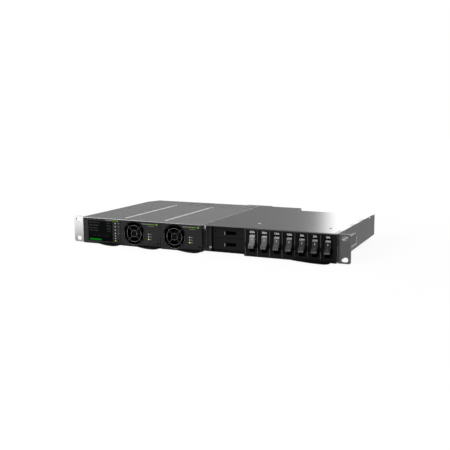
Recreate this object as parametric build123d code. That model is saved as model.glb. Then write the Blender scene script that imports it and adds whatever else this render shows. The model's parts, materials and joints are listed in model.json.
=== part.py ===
"""DC power system for a 19 inch rack, one unit high.

Seen from the front, left to right: a controller with a display, two fan-cooled
rectifier modules, two battery breakers lying one above the other, and a black
panel of seven rocker breakers for the loads. The three modules slide out to the
front, each with a release lever under its face.

Frame: the origin is the middle of the four rack slots, on the front face of the
rack ears. +X is to the right seen from the front, +Y to the rear, +Z up. All
sizes are in millimetres.
"""
import os
from math import cos, hypot, radians, sin, sqrt

from build123d import *

# Rack ears
ear_width = 19.8
ear_height = 43.6
ear_sheet = 2.0
ear_corner_radius = 3.0
ear_bend_radius = 1.25
ear_flange_length = 98.0
ear_flange_drop = 11.8
ear_flange_height = 18.0
ear_flange_corner = 3.0
slot_edge = 8.75
slot_lift = 5.925
slot_length = 10.2
slot_height = 7.0

# Shell: tray, covers and side plate
shell_depth = 238.0
shell_sheet = 1.2
tray_front = 8.5
module_cover_front = -4.0
load_cover_front = -0.5
cover_edge_round = 0.5
corner_cut_x = 10.5
corner_cut_y = 25.0
step_inset = 7.2
step_gap = 8.0
shelf_lift = 8.2
shelf_flange_height = 9.0
load_cover_short = 31.5
slant_width = 5.0
slant_short = 17.0
joint_gap = 0.3
face_gap = 0.2

# Perforated vents in the module cover
vent_hole = 4.6
vent_pitch = 6.4
vent_columns = 9
vent_rows = 7
vent_back_gap = 24.0
vent_shift = 1.5

# Vent slots in the rear wall
rear_vent_count = 7
rear_vent_edge = 17.5
rear_vent_pitch = 5.0
rear_vent_width = 2.4
rear_vent_edge_gap = 10.8

# Right side plate, with distances along it counted from its back edge
side_plate_short = 16.0
side_plate_front_lift = 2.7
side_plate_back_lift = 7.5
fold_tab_width = 5.5
front_tab_spans = ((2.0, 30.0), (77.0, 101.0))
back_tab_span = (96.0, 64.0)
side_slot_width = 2.2
side_slot_height = 4.6
side_slot_places = ((75.0, -6.1), (50.0, -4.6))
side_hole_radius = 1.4
side_hole_places = ((35.0, -5.4), (10.0, 14.6), (9.0, -2.0))
side_notch_back = 33.0
side_notch_length = 12.0
side_notch_depth = 2.4

# Module bays
module_pitch = 74.8
module_side_gap = 0.2
divider_width = 3.4
divider_sheet = 0.8
divider_front = 0.5
divider_past_case = 4.0
divider_rail_front = 12.0
divider_rail_short = 18.0
divider_rail_round = 1.1
end_wall_tab_width = 3.4
end_wall_tab_drop = 7.8
seam_stud_from_back = 69.0
seam_stud_radius = 1.7
recess_width = 12.1

# Module faces
face_front = -5.0
face_back = 0.0
face_wall = 2.0
face_top_gap = 0.3
face_corner_radius = 1.6
face_edge_round = 0.5
light_radius = 0.9
light_gap = 0.1
light_proud = 0.1
latch_slot_edge = 6.2
latch_slot_lift = 8.0
latch_slot_length = 4.0
latch_slot_height = 1.8

# Module cases
case_gap = 0.4
case_sheet = 0.8
board_sheet = 1.6
board_front = 24.0
board_back_gap = 6.0
board_foot_height = 4.0
board_foot_radius = 2.5
board_foot_inset_x = 6.0
board_foot_inset_y = 12.0
board_side_gap = 3.0
tongue_width = 36.0
tongue_reach = 8.0
tongue_slot_gap = 1.0
weld = 0.4

# Controller
display_left = 10.5
display_right_gap = 15.7
display_edge_gap = 4.8
display_sheet = 1.2
display_recess = 1.3
display_rim_gap = 0.15
controller_light_edge = 10.2
controller_light_drop = 7.4
controller_light_wide_pitch = 5.55
controller_light_wide_count = 4
controller_light_close_pitch = 4.15
controller_light_close_count = 3
controller_board_depth = 2.4
front_board_left = 5.0
front_board_right_gap = 2.8
front_board_drop = 3.8
front_board_rise = 1.0
bridge_board_left = 10.0
bridge_board_right_gap = 14.8
bridge_board_lap = 2.0
peg_radius = 1.5
peg_left = 7.0
peg_right_gap = 4.8
peg_drop = 6.8

# Rectifier front: fan, guard and lights
fan_x = 25.8
fan_case_gap = 0.2
fan_depth = 15.0
fan_corner_radius = 3.0
fan_rim = 1.1
fan_tip_gap = 0.5
fan_hub_radius = 8.2
fan_hub_round = 1.0
fan_hub_sheet = 1.0
fan_hub_face = 1.5
fan_hub_depth = 9.5
fan_hub_front = 1.5
fan_blade_count = 7
fan_blade_thickness = 1.1
fan_blade_chord = 9.0
fan_blade_root_angle = 38.0
fan_blade_tip_angle = 58.0
fan_shaft_radius = 1.5
fan_running_gap = 0.05
fan_base_sheet = 1.5
fan_strut_width = 3.0
fan_screw_edge = 3.2
opening_over_fan = 0.5
opening_lip = 0.9
guard_wire = 1.1
guard_outer_ring = 13.4
guard_inner_ring = 5.2
guard_ring_set_back = 0.2
guard_weld = 0.1
guard_bend_inset = 2.7
guard_bend_length = 1.8
guard_bend_round = 0.9
guard_eye_radius = 2.4
guard_eye_hole = 1.6
guard_eye_thickness = 1.2
rectifier_light_from_fan = 27.5
rectifier_light_top = 0.7
rectifier_light_pitch = 4.2
rectifier_light_count = 3
light_board_front = 6.0
light_board_side = 6.3
light_board_right_gap = 4.8
light_board_over = 3.0
heatsink_fin_count = 6
heatsink_fin_sheet = 1.4
heatsink_base = 3.0
heatsink_height = 20.0
heatsink_side_gap = 7.5
heatsink_front_gap = 16.0
heatsink_back_gap = 40.0

# Release levers and the panel pull
lever_left = 29.0
lever_right_gap = 2.2
lever_peak_inset = 8.6
lever_reach = 12.8
lever_thickness = 1.8
lever_lift = 0.2
lever_pin_back = 1.7
lever_pin_radius = 0.6
lever_pin_gap = 0.05
lever_pin_length = 0.8
lever_heel = 0.9
lever_side_gap = 0.4
lever_edge_round = 0.6
pull_inset = 74.2
pull_right_gap = 8.3
pull_peak_inset = 9.6
pull_reach = 12.7
pull_thickness = 1.4
pull_root = 4.0

# Load breaker panel
load_panel_front = -6.0
load_panel_side_gap = 0.2
load_panel_edge_gap = 0.3
load_panel_edge_round = 1.2
load_panel_wall = 1.5
load_panel_end_wall = 4.19
load_panel_skirt_back = 8.2
load_count = 7
load_pitch = 19.83
load_window_rib = 1.63
load_rib_chamfer = 0.45
load_window_top_rim = 1.9
load_window_low_rim = 1.5
breaker_face_set_back = 0.8
breaker_side_gap = 0.1
breaker_back = 62.0
breaker_foot_front = 12.0
breaker_terminal_length = 10.0
breaker_terminal_width = 8.0
breaker_terminal_sheet = 2.0
label_margin = 4.2
label_height = 4.8
label_drop = 0.6
label_sheet = 0.4

# Rockers
rocker_shift = 1.7
rocker_width = 8.6
rocker_window_gap = 0.35
rocker_half_angle = 20.0
rocker_facet = 7.6
rocker_nose = 4.4
rocker_nose_angle = 20.0
rocker_nose_slant = 0.3
rocker_edge_round = 0.8
rocker_wall = 2.4
rocker_pivot_depth = 5.0
rocker_hub_radius = 3.0
rocker_face_proud = 0.5
rocker_pin_radius = 1.0
rocker_pin_length = 1.0
rocker_pin_gap = 0.05
rocker_pocket_height = 29.0
rocker_pocket_low = 0.6
rocker_pocket_back = 6.0
pin_end_gap = 0.2

# Battery breakers and their toggles
battery_width = 60.3
battery_front = 10.0
battery_past_breaker = 4.0
battery_top_gap = 1.2
battery_pad_height = 3.0
battery_pad_inset = 2.0
battery_count = 2
battery_hole_x = 5.1
battery_hole_radius = 1.0
battery_hole_depth = 3.0
battery_edge_cut = 0.5
toggle_window_left = 19.6
toggle_window_length = 20.0
toggle_window_height = 5.4
toggle_window_drop = 0.7
toggle_window_back_gap = 0.5
toggle_pivot_depth = 10.0
toggle_reach = 15.5
toggle_swing = 28.0
toggle_width = 2.6
toggle_edge_round = 0.8
toggle_hub_radius = 3.0
toggle_height_gap = 0.3
toggle_pin_radius = 0.9
toggle_pin_length = 1.0
toggle_pin_gap = 0.05

# Backplane, sockets, busbars and rear terminals
backplane_gap = 16.0
backplane_side_gap = 2.0
backplane_top_gap = 7.2
socket_width = 42.0
socket_height = 12.0
socket_slot_gap = 0.5
busbar_sheet = 3.0
busbar_width = 10.0
busbar_gap = 4.4
busbar_edge = 16.5
busbar_post_radius = 1.4
busbar_post_reach = 12.0
load_busbar_over_shelf = 0.9
load_busbar_behind_breaker = 6.0
load_busbar_past_breaker = 6.0
load_link_inset = 18.0
return_busbar_rise = 7.5
return_busbar_before_output = 10.0
return_busbar_short = 4.0
return_link_inset = 32.0
inlet_count = 2
inlet_edge = 71.5
inlet_pitch = 60.0
inlet_middle_z = -3.0
inlet_width = 28.0
inlet_height = 20.0
inlet_rim = 3.0
inlet_rim_sheet = 2.3
inlet_depth = 8.5
inlet_wall = 2.0
inlet_busbar_gap = 1.5
inlet_pin_width = 2.0
inlet_pin_height = 4.0
inlet_pin_spacing = 7.0
inlet_pin_lift = 2.0
inlet_pin_drop = 1.0
inlet_pin_set_back = 1.0
inlet_pin_root = 0.5
alarm_edge = 196.5
alarm_width = 49.0
alarm_height = 11.5
alarm_top_gap = 1.1
alarm_lip_gap = 0.3
alarm_reach = 9.0
alarm_way_count = 10
alarm_way_hole = 1.3
alarm_way_depth = 5.0
alarm_way_lift = 3.0
output_inset = 11.0
output_right_gap = 6.5
output_back_gap = 2.5
output_depth = 18.0
output_base_height = 12.0
output_barrier_height = 16.0
output_barrier_sheet = 1.6

# Screws
screw_head_radius = 2.3
screw_head_height = 0.6
screw_shank_radius = 1.4
screw_shank_length = 4.0
screw_hole_gap = 0.2
stud_length = 1.1
load_screw_left_inset = 4.2
load_screw_left_y = 44.0
load_screw_right_gap = 23.5
load_screw_right_y = 43.0
rail_screw_gap = 6.5
recess_screw_inset = 3.3
recess_screw_pitch = 4.8
recess_screw_lift = 6.8
recess_head_radius = 2.0

# Widths and places along X that follow from the sizes above
load_panel_width = load_panel_wall + load_count * load_pitch + load_panel_end_wall
bays_width = shell_sheet + module_side_gap + 3 * module_pitch
breakers_width = recess_width + battery_width + breaker_side_gap + load_panel_width + load_panel_side_gap
shell_width = bays_width + breakers_width
rack_width = shell_width + 2 * ear_width
slot_spacing_x = rack_width - 2 * slot_edge
shell_left = -shell_width / 2
shell_right = shell_width / 2
first_module_left = shell_left + shell_sheet + module_side_gap
modules_right = first_module_left + 3 * module_pitch
end_wall_left = modules_right - shell_sheet / 2
end_wall_right = modules_right + shell_sheet / 2
battery_left = modules_right + recess_width
battery_right = battery_left + battery_width
load_panel_left = battery_right + breaker_side_gap
load_panel_right = shell_right - load_panel_side_gap
step_left = load_panel_left + step_inset
slant_x = step_left + slant_width
first_load_x = load_panel_left + load_panel_wall + load_pitch / 2
load_window_width = load_pitch - load_window_rib
label_width = load_window_width - label_margin
rocker_window_width = rocker_width + 2 * rocker_window_gap
pull_left = load_panel_left + pull_inset
pull_right = load_panel_right - pull_right_gap
toggle_pivot_x = battery_left + toggle_window_left + toggle_window_length / 2
case_half_width = module_pitch / 2 - divider_width / 2 - case_gap
display_width = module_pitch - display_left - display_right_gap
controller_light_x = module_pitch - controller_light_edge
rectifier_light_x = fan_x + rectifier_light_from_fan
alarm_left = shell_left + alarm_edge
alarm_right = alarm_left + alarm_width
output_left = step_left + output_inset
output_right = shell_right - output_right_gap
busbar_left = shell_left + busbar_edge
rear_vent_left = shell_left + rear_vent_edge

# Heights that follow
top = ear_height / 2
bottom = -ear_height / 2
slot_spacing_z = ear_height - 2 * slot_lift
cover_low = top - shell_sheet
floor_high = bottom + shell_sheet
shelf_low = bottom + shelf_lift
shelf_high = shelf_low + shell_sheet
face_top = cover_low - face_top_gap
case_high = cover_low - case_gap
case_low = floor_high + case_gap
board_low = case_low + case_sheet + board_foot_height
fan_size = case_high - case_low - 2 * case_sheet - 2 * fan_case_gap
fan_z = case_low + case_sheet + fan_size / 2
fan_bore_radius = fan_size / 2 - fan_rim
fan_screw_spacing = fan_size - 2 * fan_screw_edge
face_opening_radius = fan_size / 2 + opening_over_fan
display_height = ear_height - 2 * display_edge_gap
lever_low = bottom + lever_lift
lever_high = lever_low + lever_thickness
lever_pin_z = (lever_low + lever_high) / 2
lever_heel_sweep = hypot(lever_heel, lever_thickness / 2)
notch_top = lever_pin_z + lever_heel_sweep + face_gap
load_panel_low = bottom + load_panel_edge_gap
load_panel_high = top - load_panel_edge_gap
load_window_top = load_panel_high - load_window_top_rim
load_window_bottom = load_panel_low + load_window_low_rim
breaker_high = load_window_top - breaker_side_gap
label_high = load_window_top - label_drop
label_low = label_high - label_height
battery_low = floor_high + battery_pad_height
battery_height = (cover_low - battery_top_gap - battery_low) / battery_count
load_busbar_low = shelf_high + load_busbar_over_shelf
return_busbar_low = load_busbar_low + return_busbar_rise
alarm_high = cover_low - alarm_top_gap
alarm_low = alarm_high - alarm_height
rear_vent_height = ear_height - 2 * rear_vent_edge_gap

# Depths and places along Y that follow
inlet_front = shell_depth - inlet_depth
busbar_back_y = inlet_front - inlet_busbar_gap - busbar_width
backplane_front = busbar_back_y - busbar_gap - board_sheet
case_length = backplane_front - backplane_gap
board_back = case_length - board_back_gap
divider_back = case_length + divider_past_case
divider_rail_back = case_length - divider_rail_short
socket_front = case_length + 2 * face_gap
side_plate_back = shell_depth - side_plate_short
load_cover_back = shell_depth - load_cover_short
slant_y = shell_depth - slant_short
vent_middle_y = shell_depth - vent_back_gap
step_front = breaker_back + step_gap
battery_back = breaker_back + battery_past_breaker
load_busbar_front_y = breaker_back + load_busbar_behind_breaker
output_back = load_cover_back - output_back_gap
output_front = output_back - output_depth
return_busbar_front_y = output_front - return_busbar_before_output
alarm_back = shell_depth + alarm_reach
lever_pin_y = face_back - lever_pin_back
fan_seat_depth = guard_eye_thickness + face_gap
breaker_front = load_panel_front + breaker_face_set_back
rocker_pivot_set_back = rocker_pivot_depth * cos(radians(rocker_half_angle)) - rocker_face_proud
rocker_pivot_y = load_panel_front + rocker_pivot_set_back
toggle_pivot_y = battery_front + toggle_pivot_depth
fold_tab_spans = front_tab_spans + (
    (side_plate_back - back_tab_span[0], side_plate_back - back_tab_span[1]),
)

# Places of the screws: two at the front of the load side, two behind the divider rails
rail_screw_y = divider_rail_back + rail_screw_gap
cover_screw_places = (
    (load_panel_left + load_screw_left_inset, load_screw_left_y),
    (shell_right - load_screw_right_gap, load_screw_right_y),
    (first_module_left + module_pitch, rail_screw_y),
    (first_module_left + 2 * module_pitch, rail_screw_y),
)
recess_screw_x = modules_right + recess_screw_inset
recess_screw_z = bottom + recess_screw_lift
recess_screw_places = (
    (recess_screw_x, recess_screw_z),
    (recess_screw_x + recess_screw_pitch, recess_screw_z),
)


def block(x, y, z):
    """A box between the low and high values given for X, Y and Z."""
    centre = ((x[0] + x[1]) / 2, (y[0] + y[1]) / 2, (z[0] + z[1]) / 2)
    return Pos(*centre) * Box(x[1] - x[0], y[1] - y[0], z[1] - z[0])


def rod_x(x, y, z, radius):
    """A round rod along X between the two x values."""
    return Pos((x[0] + x[1]) / 2, y, z) * Rot(0, 90, 0) * Cylinder(radius, x[1] - x[0])


def rod_y(x, y, z, radius):
    """A round rod along Y between the two y values."""
    return Pos(x, (y[0] + y[1]) / 2, z) * Rot(90, 0, 0) * Cylinder(radius, y[1] - y[0])


def rod_z(x, y, z, radius):
    """A round rod along Z between the two z values."""
    return Pos(x, y, (z[0] + z[1]) / 2) * Cylinder(radius, z[1] - z[0])


def plan_plate(points, z):
    """A flat plate with the given outline in plan, between two heights."""
    outline = make_face(Polyline(*[(x, y, 0) for x, y in points], close=True))
    return Pos(0, 0, z[0]) * extrude(outline, z[1] - z[0])


def side_profile(points, x):
    """A prism along X from an outline given as (y, z) points."""
    outline = make_face(Polyline(*[(x[0], y, z) for y, z in points], close=True))
    return extrude(outline, x[1] - x[0], dir=(1, 0, 0))


def slot_y(x, z, length, height, y):
    """An oblong hole through the span y, long along X."""
    straight = (length - height) / 2
    middle = block((x - straight, x + straight), y, (z - height / 2, z + height / 2))
    ends = [rod_y(x + side * straight, y, z, height / 2) for side in (-1, 1)]
    return middle + ends[0] + ends[1]


def module_left(index):
    """Left limit of a module's bay."""
    return first_module_left + index * module_pitch


def module_middle(index):
    """Middle of a module's bay."""
    return module_left(index) + module_pitch / 2


# Rack ears

def right_ear():
    """An L of folded sheet: the slotted front flange and a flange along the side plate."""
    inner = shell_right
    outer = rack_width / 2
    front = block((inner, outer), (0, ear_sheet), (bottom, top))
    corner_edges = front.edges().filter_by(Axis.Y).group_by(Axis.X)[-1]
    front = fillet(corner_edges, ear_corner_radius)
    flange_low = bottom + ear_flange_drop
    side = block(
        (inner, inner + ear_sheet),
        (0, ear_flange_length),
        (flange_low, flange_low + ear_flange_height),
    )
    rear_edges = side.edges().filter_by(Axis.X).group_by(Axis.Y)[-1]
    side = fillet(rear_edges, ear_flange_corner)
    ear = front + side
    bend = ear.edges().filter_by(Axis.Z).filter_by_position(Axis.X, inner - 0.01, inner + 0.01)
    bend = bend.group_by(Axis.Y)[0]
    ear = fillet(bend, ear_bend_radius)
    for slot_z in (-slot_spacing_z / 2, slot_spacing_z / 2):
        ear -= slot_y(slot_spacing_x / 2, slot_z, slot_length, slot_height, (-1, ear_sheet + 1))
    return ear


def left_ear():
    """The right ear's mirror image."""
    return mirror(right_ear(), about=Plane.YZ)


# Shell

def rear_corner_outline(inset, front, right):
    """Plan outline of the module side, with the cut rear left corner, moved in by the sheet."""
    left = shell_left + inset
    back = shell_depth - inset
    slope = corner_cut_y / corner_cut_x
    shift = inset * (sqrt(1 + slope ** 2) - 1) / slope
    side_shift = inset * (sqrt(1 + slope ** 2) - slope)
    return [
        (left, front),
        (left, shell_depth - corner_cut_y + side_shift),
        (shell_left + corner_cut_x + shift, back),
        (right, back),
        (right, front),
    ]


def chassis_tray():
    """The pan under the modules, stepped up behind the load breakers."""
    tray = plan_plate(rear_corner_outline(0, tray_front, step_left), (bottom, cover_low))
    hollow = rear_corner_outline(shell_sheet, tray_front - 1, step_left + 1)
    tray -= plan_plate(hollow, (floor_high, cover_low + 1))
    right = shell_right - shell_sheet
    tray += block((step_left, right), (tray_front, step_front), (bottom, floor_high))
    tray += block((step_left, right), (step_front - shell_sheet, step_front), (bottom, shelf_high))
    shelf_y = (step_front - shell_sheet, load_cover_back)
    tray += block((step_left, right), shelf_y, (shelf_low, shelf_high))
    riser = (step_left - shell_sheet, step_left)
    tray += block(riser, (step_front - shell_sheet, shell_depth), (bottom, shelf_high))
    flange = (right - shell_sheet, right)
    tray += block(flange, shelf_y, (shelf_low, shelf_high + shelf_flange_height))
    tray += block(
        (battery_left, battery_right),
        (battery_front + battery_pad_inset, battery_back - battery_pad_inset),
        (floor_high, battery_low),
    )
    for index in range(inlet_count):
        x = inlet_x(index)
        half = inlet_width / 2 + face_gap
        tray -= block(
            (x - half, x + half),
            (shell_depth - 2 * shell_sheet, shell_depth + 1),
            (inlet_middle_z - inlet_height / 2 - face_gap, inlet_middle_z + inlet_height / 2 + face_gap),
        )
    tray -= block(
        (alarm_left - face_gap, alarm_right + face_gap),
        (shell_depth - 2 * shell_sheet, shell_depth + 1),
        (alarm_low - face_gap, cover_low + 1),
    )
    for index in range(rear_vent_count):
        x = rear_vent_left + index * rear_vent_pitch
        tray -= block(
            (x, x + rear_vent_width),
            (shell_depth - 2 * shell_sheet, shell_depth + 1),
            (-rear_vent_height / 2, rear_vent_height / 2),
        )
    return tray


def right_side_plate():
    """The flat side plate, with tabs folded over the cover's edge and cable-tie slots."""
    x = (shell_right - shell_sheet, shell_right)
    front = joint_gap
    plate = side_profile(
        [
            (front, bottom + side_plate_front_lift),
            (side_plate_back, bottom + side_plate_back_lift),
            (side_plate_back, cover_low),
            (front, cover_low),
        ],
        x,
    )
    through = (x[0] - 1, x[1] + 1)
    for back_gap, z in side_slot_places:
        y = side_plate_back - back_gap
        half_width = side_slot_width / 2
        straight = (side_slot_height - side_slot_width) / 2
        plate -= block(through, (y - half_width, y + half_width), (z - straight, z + straight))
        plate -= rod_x(through, y, z - straight, half_width) + rod_x(through, y, z + straight, half_width)
    for back_gap, z in side_hole_places:
        plate -= rod_x(through, side_plate_back - back_gap, z, side_hole_radius)
    notch_y = side_plate_back - side_notch_back
    half_notch = side_notch_length / 2
    plate -= block(
        through,
        (notch_y - half_notch, notch_y + half_notch),
        (cover_low - side_notch_depth, cover_low + 1),
    )
    for start, end in fold_tab_spans:
        plate += block((shell_right - fold_tab_width, shell_right), (start, end), (cover_low, top))
    return plate


def vent_field(middle_x):
    """Staggered hexagonal holes, as tools to cut them with."""
    outline = RegularPolygon(vent_hole / 2, 6, major_radius=False)
    hexagon = extrude(outline, 4 * shell_sheet, both=True)
    holes = []
    row_pitch = vent_pitch * cos(radians(30))
    for row in range(vent_rows):
        y = vent_middle_y + (row - (vent_rows - 1) / 2) * row_pitch
        shift = vent_pitch / 4 if row % 2 else -vent_pitch / 4
        first_x = middle_x + shift - (vent_columns - 1) / 2 * vent_pitch
        for column in range(vent_columns):
            x = first_x + column * vent_pitch
            holes.append(Pos(x, y, cover_low) * hexagon)
    return holes


def screw_holes(places):
    """Tools for the clearance holes of the cover screws."""
    radius = screw_shank_radius + screw_hole_gap
    return [rod_z(x, y, (cover_low - 1, top + 1), radius) for x, y in places]


def module_cover():
    """The cover over the modules: slots for the divider rails, vents and a cut rear corner."""
    right = end_wall_left - joint_gap
    outline = rear_corner_outline(0, module_cover_front, right)
    cover = plan_plate(outline, (cover_low, top))
    front_edge = cover.edges().filter_by(Axis.X).group_by(Axis.Y)[0].sort_by(Axis.Z)[-1]
    cover = fillet(front_edge, cover_edge_round)
    for index in (1, 2):
        half = divider_width / 2 + joint_gap
        cover -= block(
            (module_left(index) - half, module_left(index) + half),
            (divider_rail_front - joint_gap, divider_rail_back + joint_gap),
            (cover_low - 1, top + 1),
        )
    cover -= screw_holes([place for place in cover_screw_places if place[0] < right])
    for index in (1, 2):
        cover -= vent_field(module_middle(index) + vent_shift)
    return cover


def distribution_cover():
    """The cover over the breakers, notched on the right for the side plate's tabs."""
    left = end_wall_right + joint_gap
    outline = [
        (left, load_cover_front),
        (shell_right, load_cover_front),
        (shell_right, load_cover_back),
        (slant_x, load_cover_back),
        (slant_x, slant_y),
        (step_left, shell_depth),
        (left, shell_depth),
    ]
    cover = plan_plate(outline, (cover_low, top))
    front_edge = cover.edges().filter_by(Axis.X).group_by(Axis.Y)[0].sort_by(Axis.Z)[-1]
    cover = fillet(front_edge, cover_edge_round)
    for start, end in fold_tab_spans:
        cover -= block(
            (shell_right - fold_tab_width - joint_gap, shell_right + 1),
            (start - joint_gap, end + joint_gap),
            (cover_low - 1, top + 1),
        )
    cover -= screw_holes([place for place in cover_screw_places if place[0] > left])
    return cover


def bay_divider(index):
    """A double wall of folded sheet; its rounded top fold stands up through the cover's slot."""
    x = module_left(index)
    half = divider_width / 2
    wall = block((x - half, x + half), (divider_front, divider_back), (floor_high, cover_low))
    inner = half - divider_sheet
    wall -= block(
        (x - inner, x + inner),
        (divider_front - 1, divider_back + 1),
        (floor_high - 1, cover_low - divider_sheet),
    )
    rail = block((x - half, x + half), (divider_rail_front, divider_rail_back), (cover_low, top))
    rail = fillet(rail.edges().filter_by(Axis.Y).group_by(Axis.Z)[-1], divider_rail_round)
    return wall + rail


def end_wall():
    """The wall right of the last module: front flange with screw holes, top tab and seam stud."""
    x = (end_wall_left, end_wall_right)
    wall = block(x, (divider_front, divider_back), (floor_high, top))
    flange_front = tray_front + face_gap
    flange = block(
        (end_wall_left, battery_left - face_gap),
        (flange_front, flange_front + shell_sheet),
        (floor_high, cover_low - face_gap),
    )
    for place_x, place_z in recess_screw_places:
        radius = screw_shank_radius + screw_hole_gap
        flange -= rod_y(place_x, (flange_front - 1, flange_front + 2 * shell_sheet), place_z, radius)
    tab = block(
        (end_wall_left, end_wall_right + end_wall_tab_width),
        (divider_front, divider_front + shell_sheet),
        (top - end_wall_tab_drop, cover_low - face_gap),
    )
    stud_y = case_length - seam_stud_from_back
    stud = rod_z(modules_right, stud_y, (top, top + screw_head_height), seam_stud_radius)
    return wall + flange + tab + stud


# Modules

def lever_outline(left, right, peak_x, reach, back_y, front_y):
    """Plan of a finger lip: one long shallow curve out to its peak and a short round end."""
    start = (left, front_y)
    peak = (peak_x, front_y - reach)
    end = (right, front_y - reach * 0.25)
    long_curve = Spline(
        start,
        (left + (peak_x - left) * 0.5, front_y - reach * 0.68),
        peak,
        tangents=[(1, -0.45), (1, 0)],
    )
    short_curve = Spline(peak, end, tangents=[(1, 0), (0, 1)])
    closing = Polyline(end, (right, back_y), (left, back_y), start)
    return make_face(long_curve + short_curve + closing)


def round_front_edges(lip, front_y):
    """Rounds the upper and lower edges of a finger lip, in front of the face that it stands on."""
    reach_limit = front_y - 2 * lever_reach
    edges = lip.edges().filter_by_position(Axis.Y, reach_limit, front_y - 0.5)
    flat_edges = edges.group_by(Axis.Z)[0] + edges.group_by(Axis.Z)[-1]
    return fillet(flat_edges, lever_edge_round)


def module_face(index):
    """A hollow moulded face with its lever notch, lever pin holes and latch slot."""
    left = module_left(index)
    x = (left + module_side_gap, left + module_pitch - module_side_gap)
    face = block(x, (face_front, face_back), (bottom, face_top))
    face = fillet(face.edges().filter_by(Axis.Y), face_corner_radius)
    front_edges = face.edges().group_by(Axis.Y)[0]
    face = fillet(front_edges, face_edge_round)
    face -= block(
        (x[0] + face_wall, x[1] - face_wall),
        (face_front + face_wall, face_back + 1),
        (notch_top + face_wall, face_top - face_wall),
    )
    right = left + module_pitch - lever_right_gap
    notch = (left + lever_left - lever_side_gap, right + lever_side_gap)
    face -= block(notch, (face_front - 1, face_back + 1), (bottom - 1, notch_top))
    pin_reach = lever_pin_length + lever_side_gap
    face -= rod_x(
        (notch[0] - pin_reach, notch[1] + pin_reach),
        lever_pin_y,
        lever_pin_z,
        lever_pin_radius + lever_pin_gap,
    )
    slot_x = left + module_pitch - latch_slot_edge
    slot_z = bottom + latch_slot_lift
    face -= block(
        (slot_x, slot_x + latch_slot_length),
        (face_front - 1, face_front + face_wall + 1),
        (slot_z - latch_slot_height / 2, slot_z + latch_slot_height / 2),
    )
    return face


def release_lever(index):
    """The finger lip under a module's face, on two short pins."""
    left = module_left(index) + lever_left
    right = module_left(index) + module_pitch - lever_right_gap
    outline = lever_outline(
        left,
        right,
        right - lever_peak_inset,
        lever_reach,
        lever_pin_y + lever_heel,
        face_front,
    )
    lever = Pos(0, 0, lever_low) * extrude(outline, lever_thickness)
    lever = round_front_edges(lever, face_front)
    past_side = lever_pin_length + lever_side_gap / 2
    return lever + rod_x((left - past_side, right + past_side), lever_pin_y, lever_pin_z, lever_pin_radius)


def case_shell(index):
    """A sheet-metal case, open at the front, with a connector slot and feet for the board."""
    middle = module_middle(index)
    x = (middle - case_half_width, middle + case_half_width)
    case = block(x, (face_back, case_length), (case_low, case_high))
    case -= block(
        (x[0] + case_sheet, x[1] - case_sheet),
        (face_back - 1, case_length - case_sheet),
        (case_low + case_sheet, case_high - case_sheet),
    )
    half = tongue_width / 2 + tongue_slot_gap
    case -= block(
        (middle - half, middle + half),
        (case_length - 2 * case_sheet, case_length + 1),
        (board_low - tongue_slot_gap, board_low + board_sheet + tongue_slot_gap),
    )
    for foot_x in (-1, 1):
        for foot_y in (board_front + board_foot_inset_y, board_back - board_foot_inset_y):
            case += rod_z(
                middle + foot_x * (case_half_width - board_side_gap - board_foot_inset_x),
                foot_y,
                (case_low + case_sheet, board_low),
                board_foot_radius,
            )
    return case


def main_board(index):
    """A printed board on the case's feet, with its contact tongue through the rear wall."""
    middle = module_middle(index)
    half = case_half_width - case_sheet - board_side_gap
    z = (board_low, board_low + board_sheet)
    board = block((middle - half, middle + half), (board_front, board_back), z)
    tongue = (middle - tongue_width / 2, middle + tongue_width / 2)
    board += block(tongue, (board_back, case_length + tongue_reach), z)
    return board


# Controller

def controller_light_heights():
    """Heights of the controller's lights, from the top one down."""
    highest = top - controller_light_drop
    heights = [highest - step * controller_light_wide_pitch for step in range(controller_light_wide_count)]
    for _ in range(controller_light_close_count):
        heights.append(heights[-1] - controller_light_close_pitch)
    return heights


def controller_face():
    """The face with the display's recess, seven light holes and four pegs for the board."""
    face = module_face(0)
    left = module_left(0)
    face -= block(
        (left + display_left, left + display_left + display_width),
        (face_front - 1, face_front + display_recess),
        (-display_height / 2, display_height / 2),
    )
    for z in controller_light_heights():
        face -= rod_y(left + controller_light_x, (face_front - 1, face_back), z, light_radius + light_gap)
    peg_y = (face_front + face_wall, face_back - controller_board_depth)
    for x in (left + peg_left, left + module_pitch - peg_right_gap):
        for z in (bottom + peg_drop, top - peg_drop):
            face += rod_y(x, peg_y, z, peg_radius)
    return face


def display_window():
    """The clear plate in the display's recess."""
    left = module_left(0) + display_left
    back = face_front + display_recess
    return block(
        (left + display_rim_gap, left + display_width - display_rim_gap),
        (back - display_sheet, back),
        (-display_height / 2 + display_rim_gap, display_height / 2 - display_rim_gap),
    )


def controller_board():
    """The main board, an upright board behind the face and its seven lights."""
    left = module_left(0)
    board = main_board(0)
    upright = (face_back - controller_board_depth, face_back - controller_board_depth + board_sheet)
    board += block(
        (left + front_board_left, left + module_pitch - front_board_right_gap),
        upright,
        (notch_top + face_wall + front_board_rise, top - front_board_drop),
    )
    board += block(
        (left + bridge_board_left, left + module_pitch - bridge_board_right_gap),
        (upright[1] - board_sheet / 2, board_front + bridge_board_lap),
        (board_low, board_low + board_sheet),
    )
    light_y = (face_front - light_proud, upright[0] + weld)
    for z in controller_light_heights():
        board += rod_y(left + controller_light_x, light_y, z, light_radius)
    return board


# Rectifiers

def rectifier_light_heights():
    """Heights of a rectifier's lights, from the top one down."""
    return [rectifier_light_top - step * rectifier_light_pitch for step in range(rectifier_light_count)]


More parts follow.
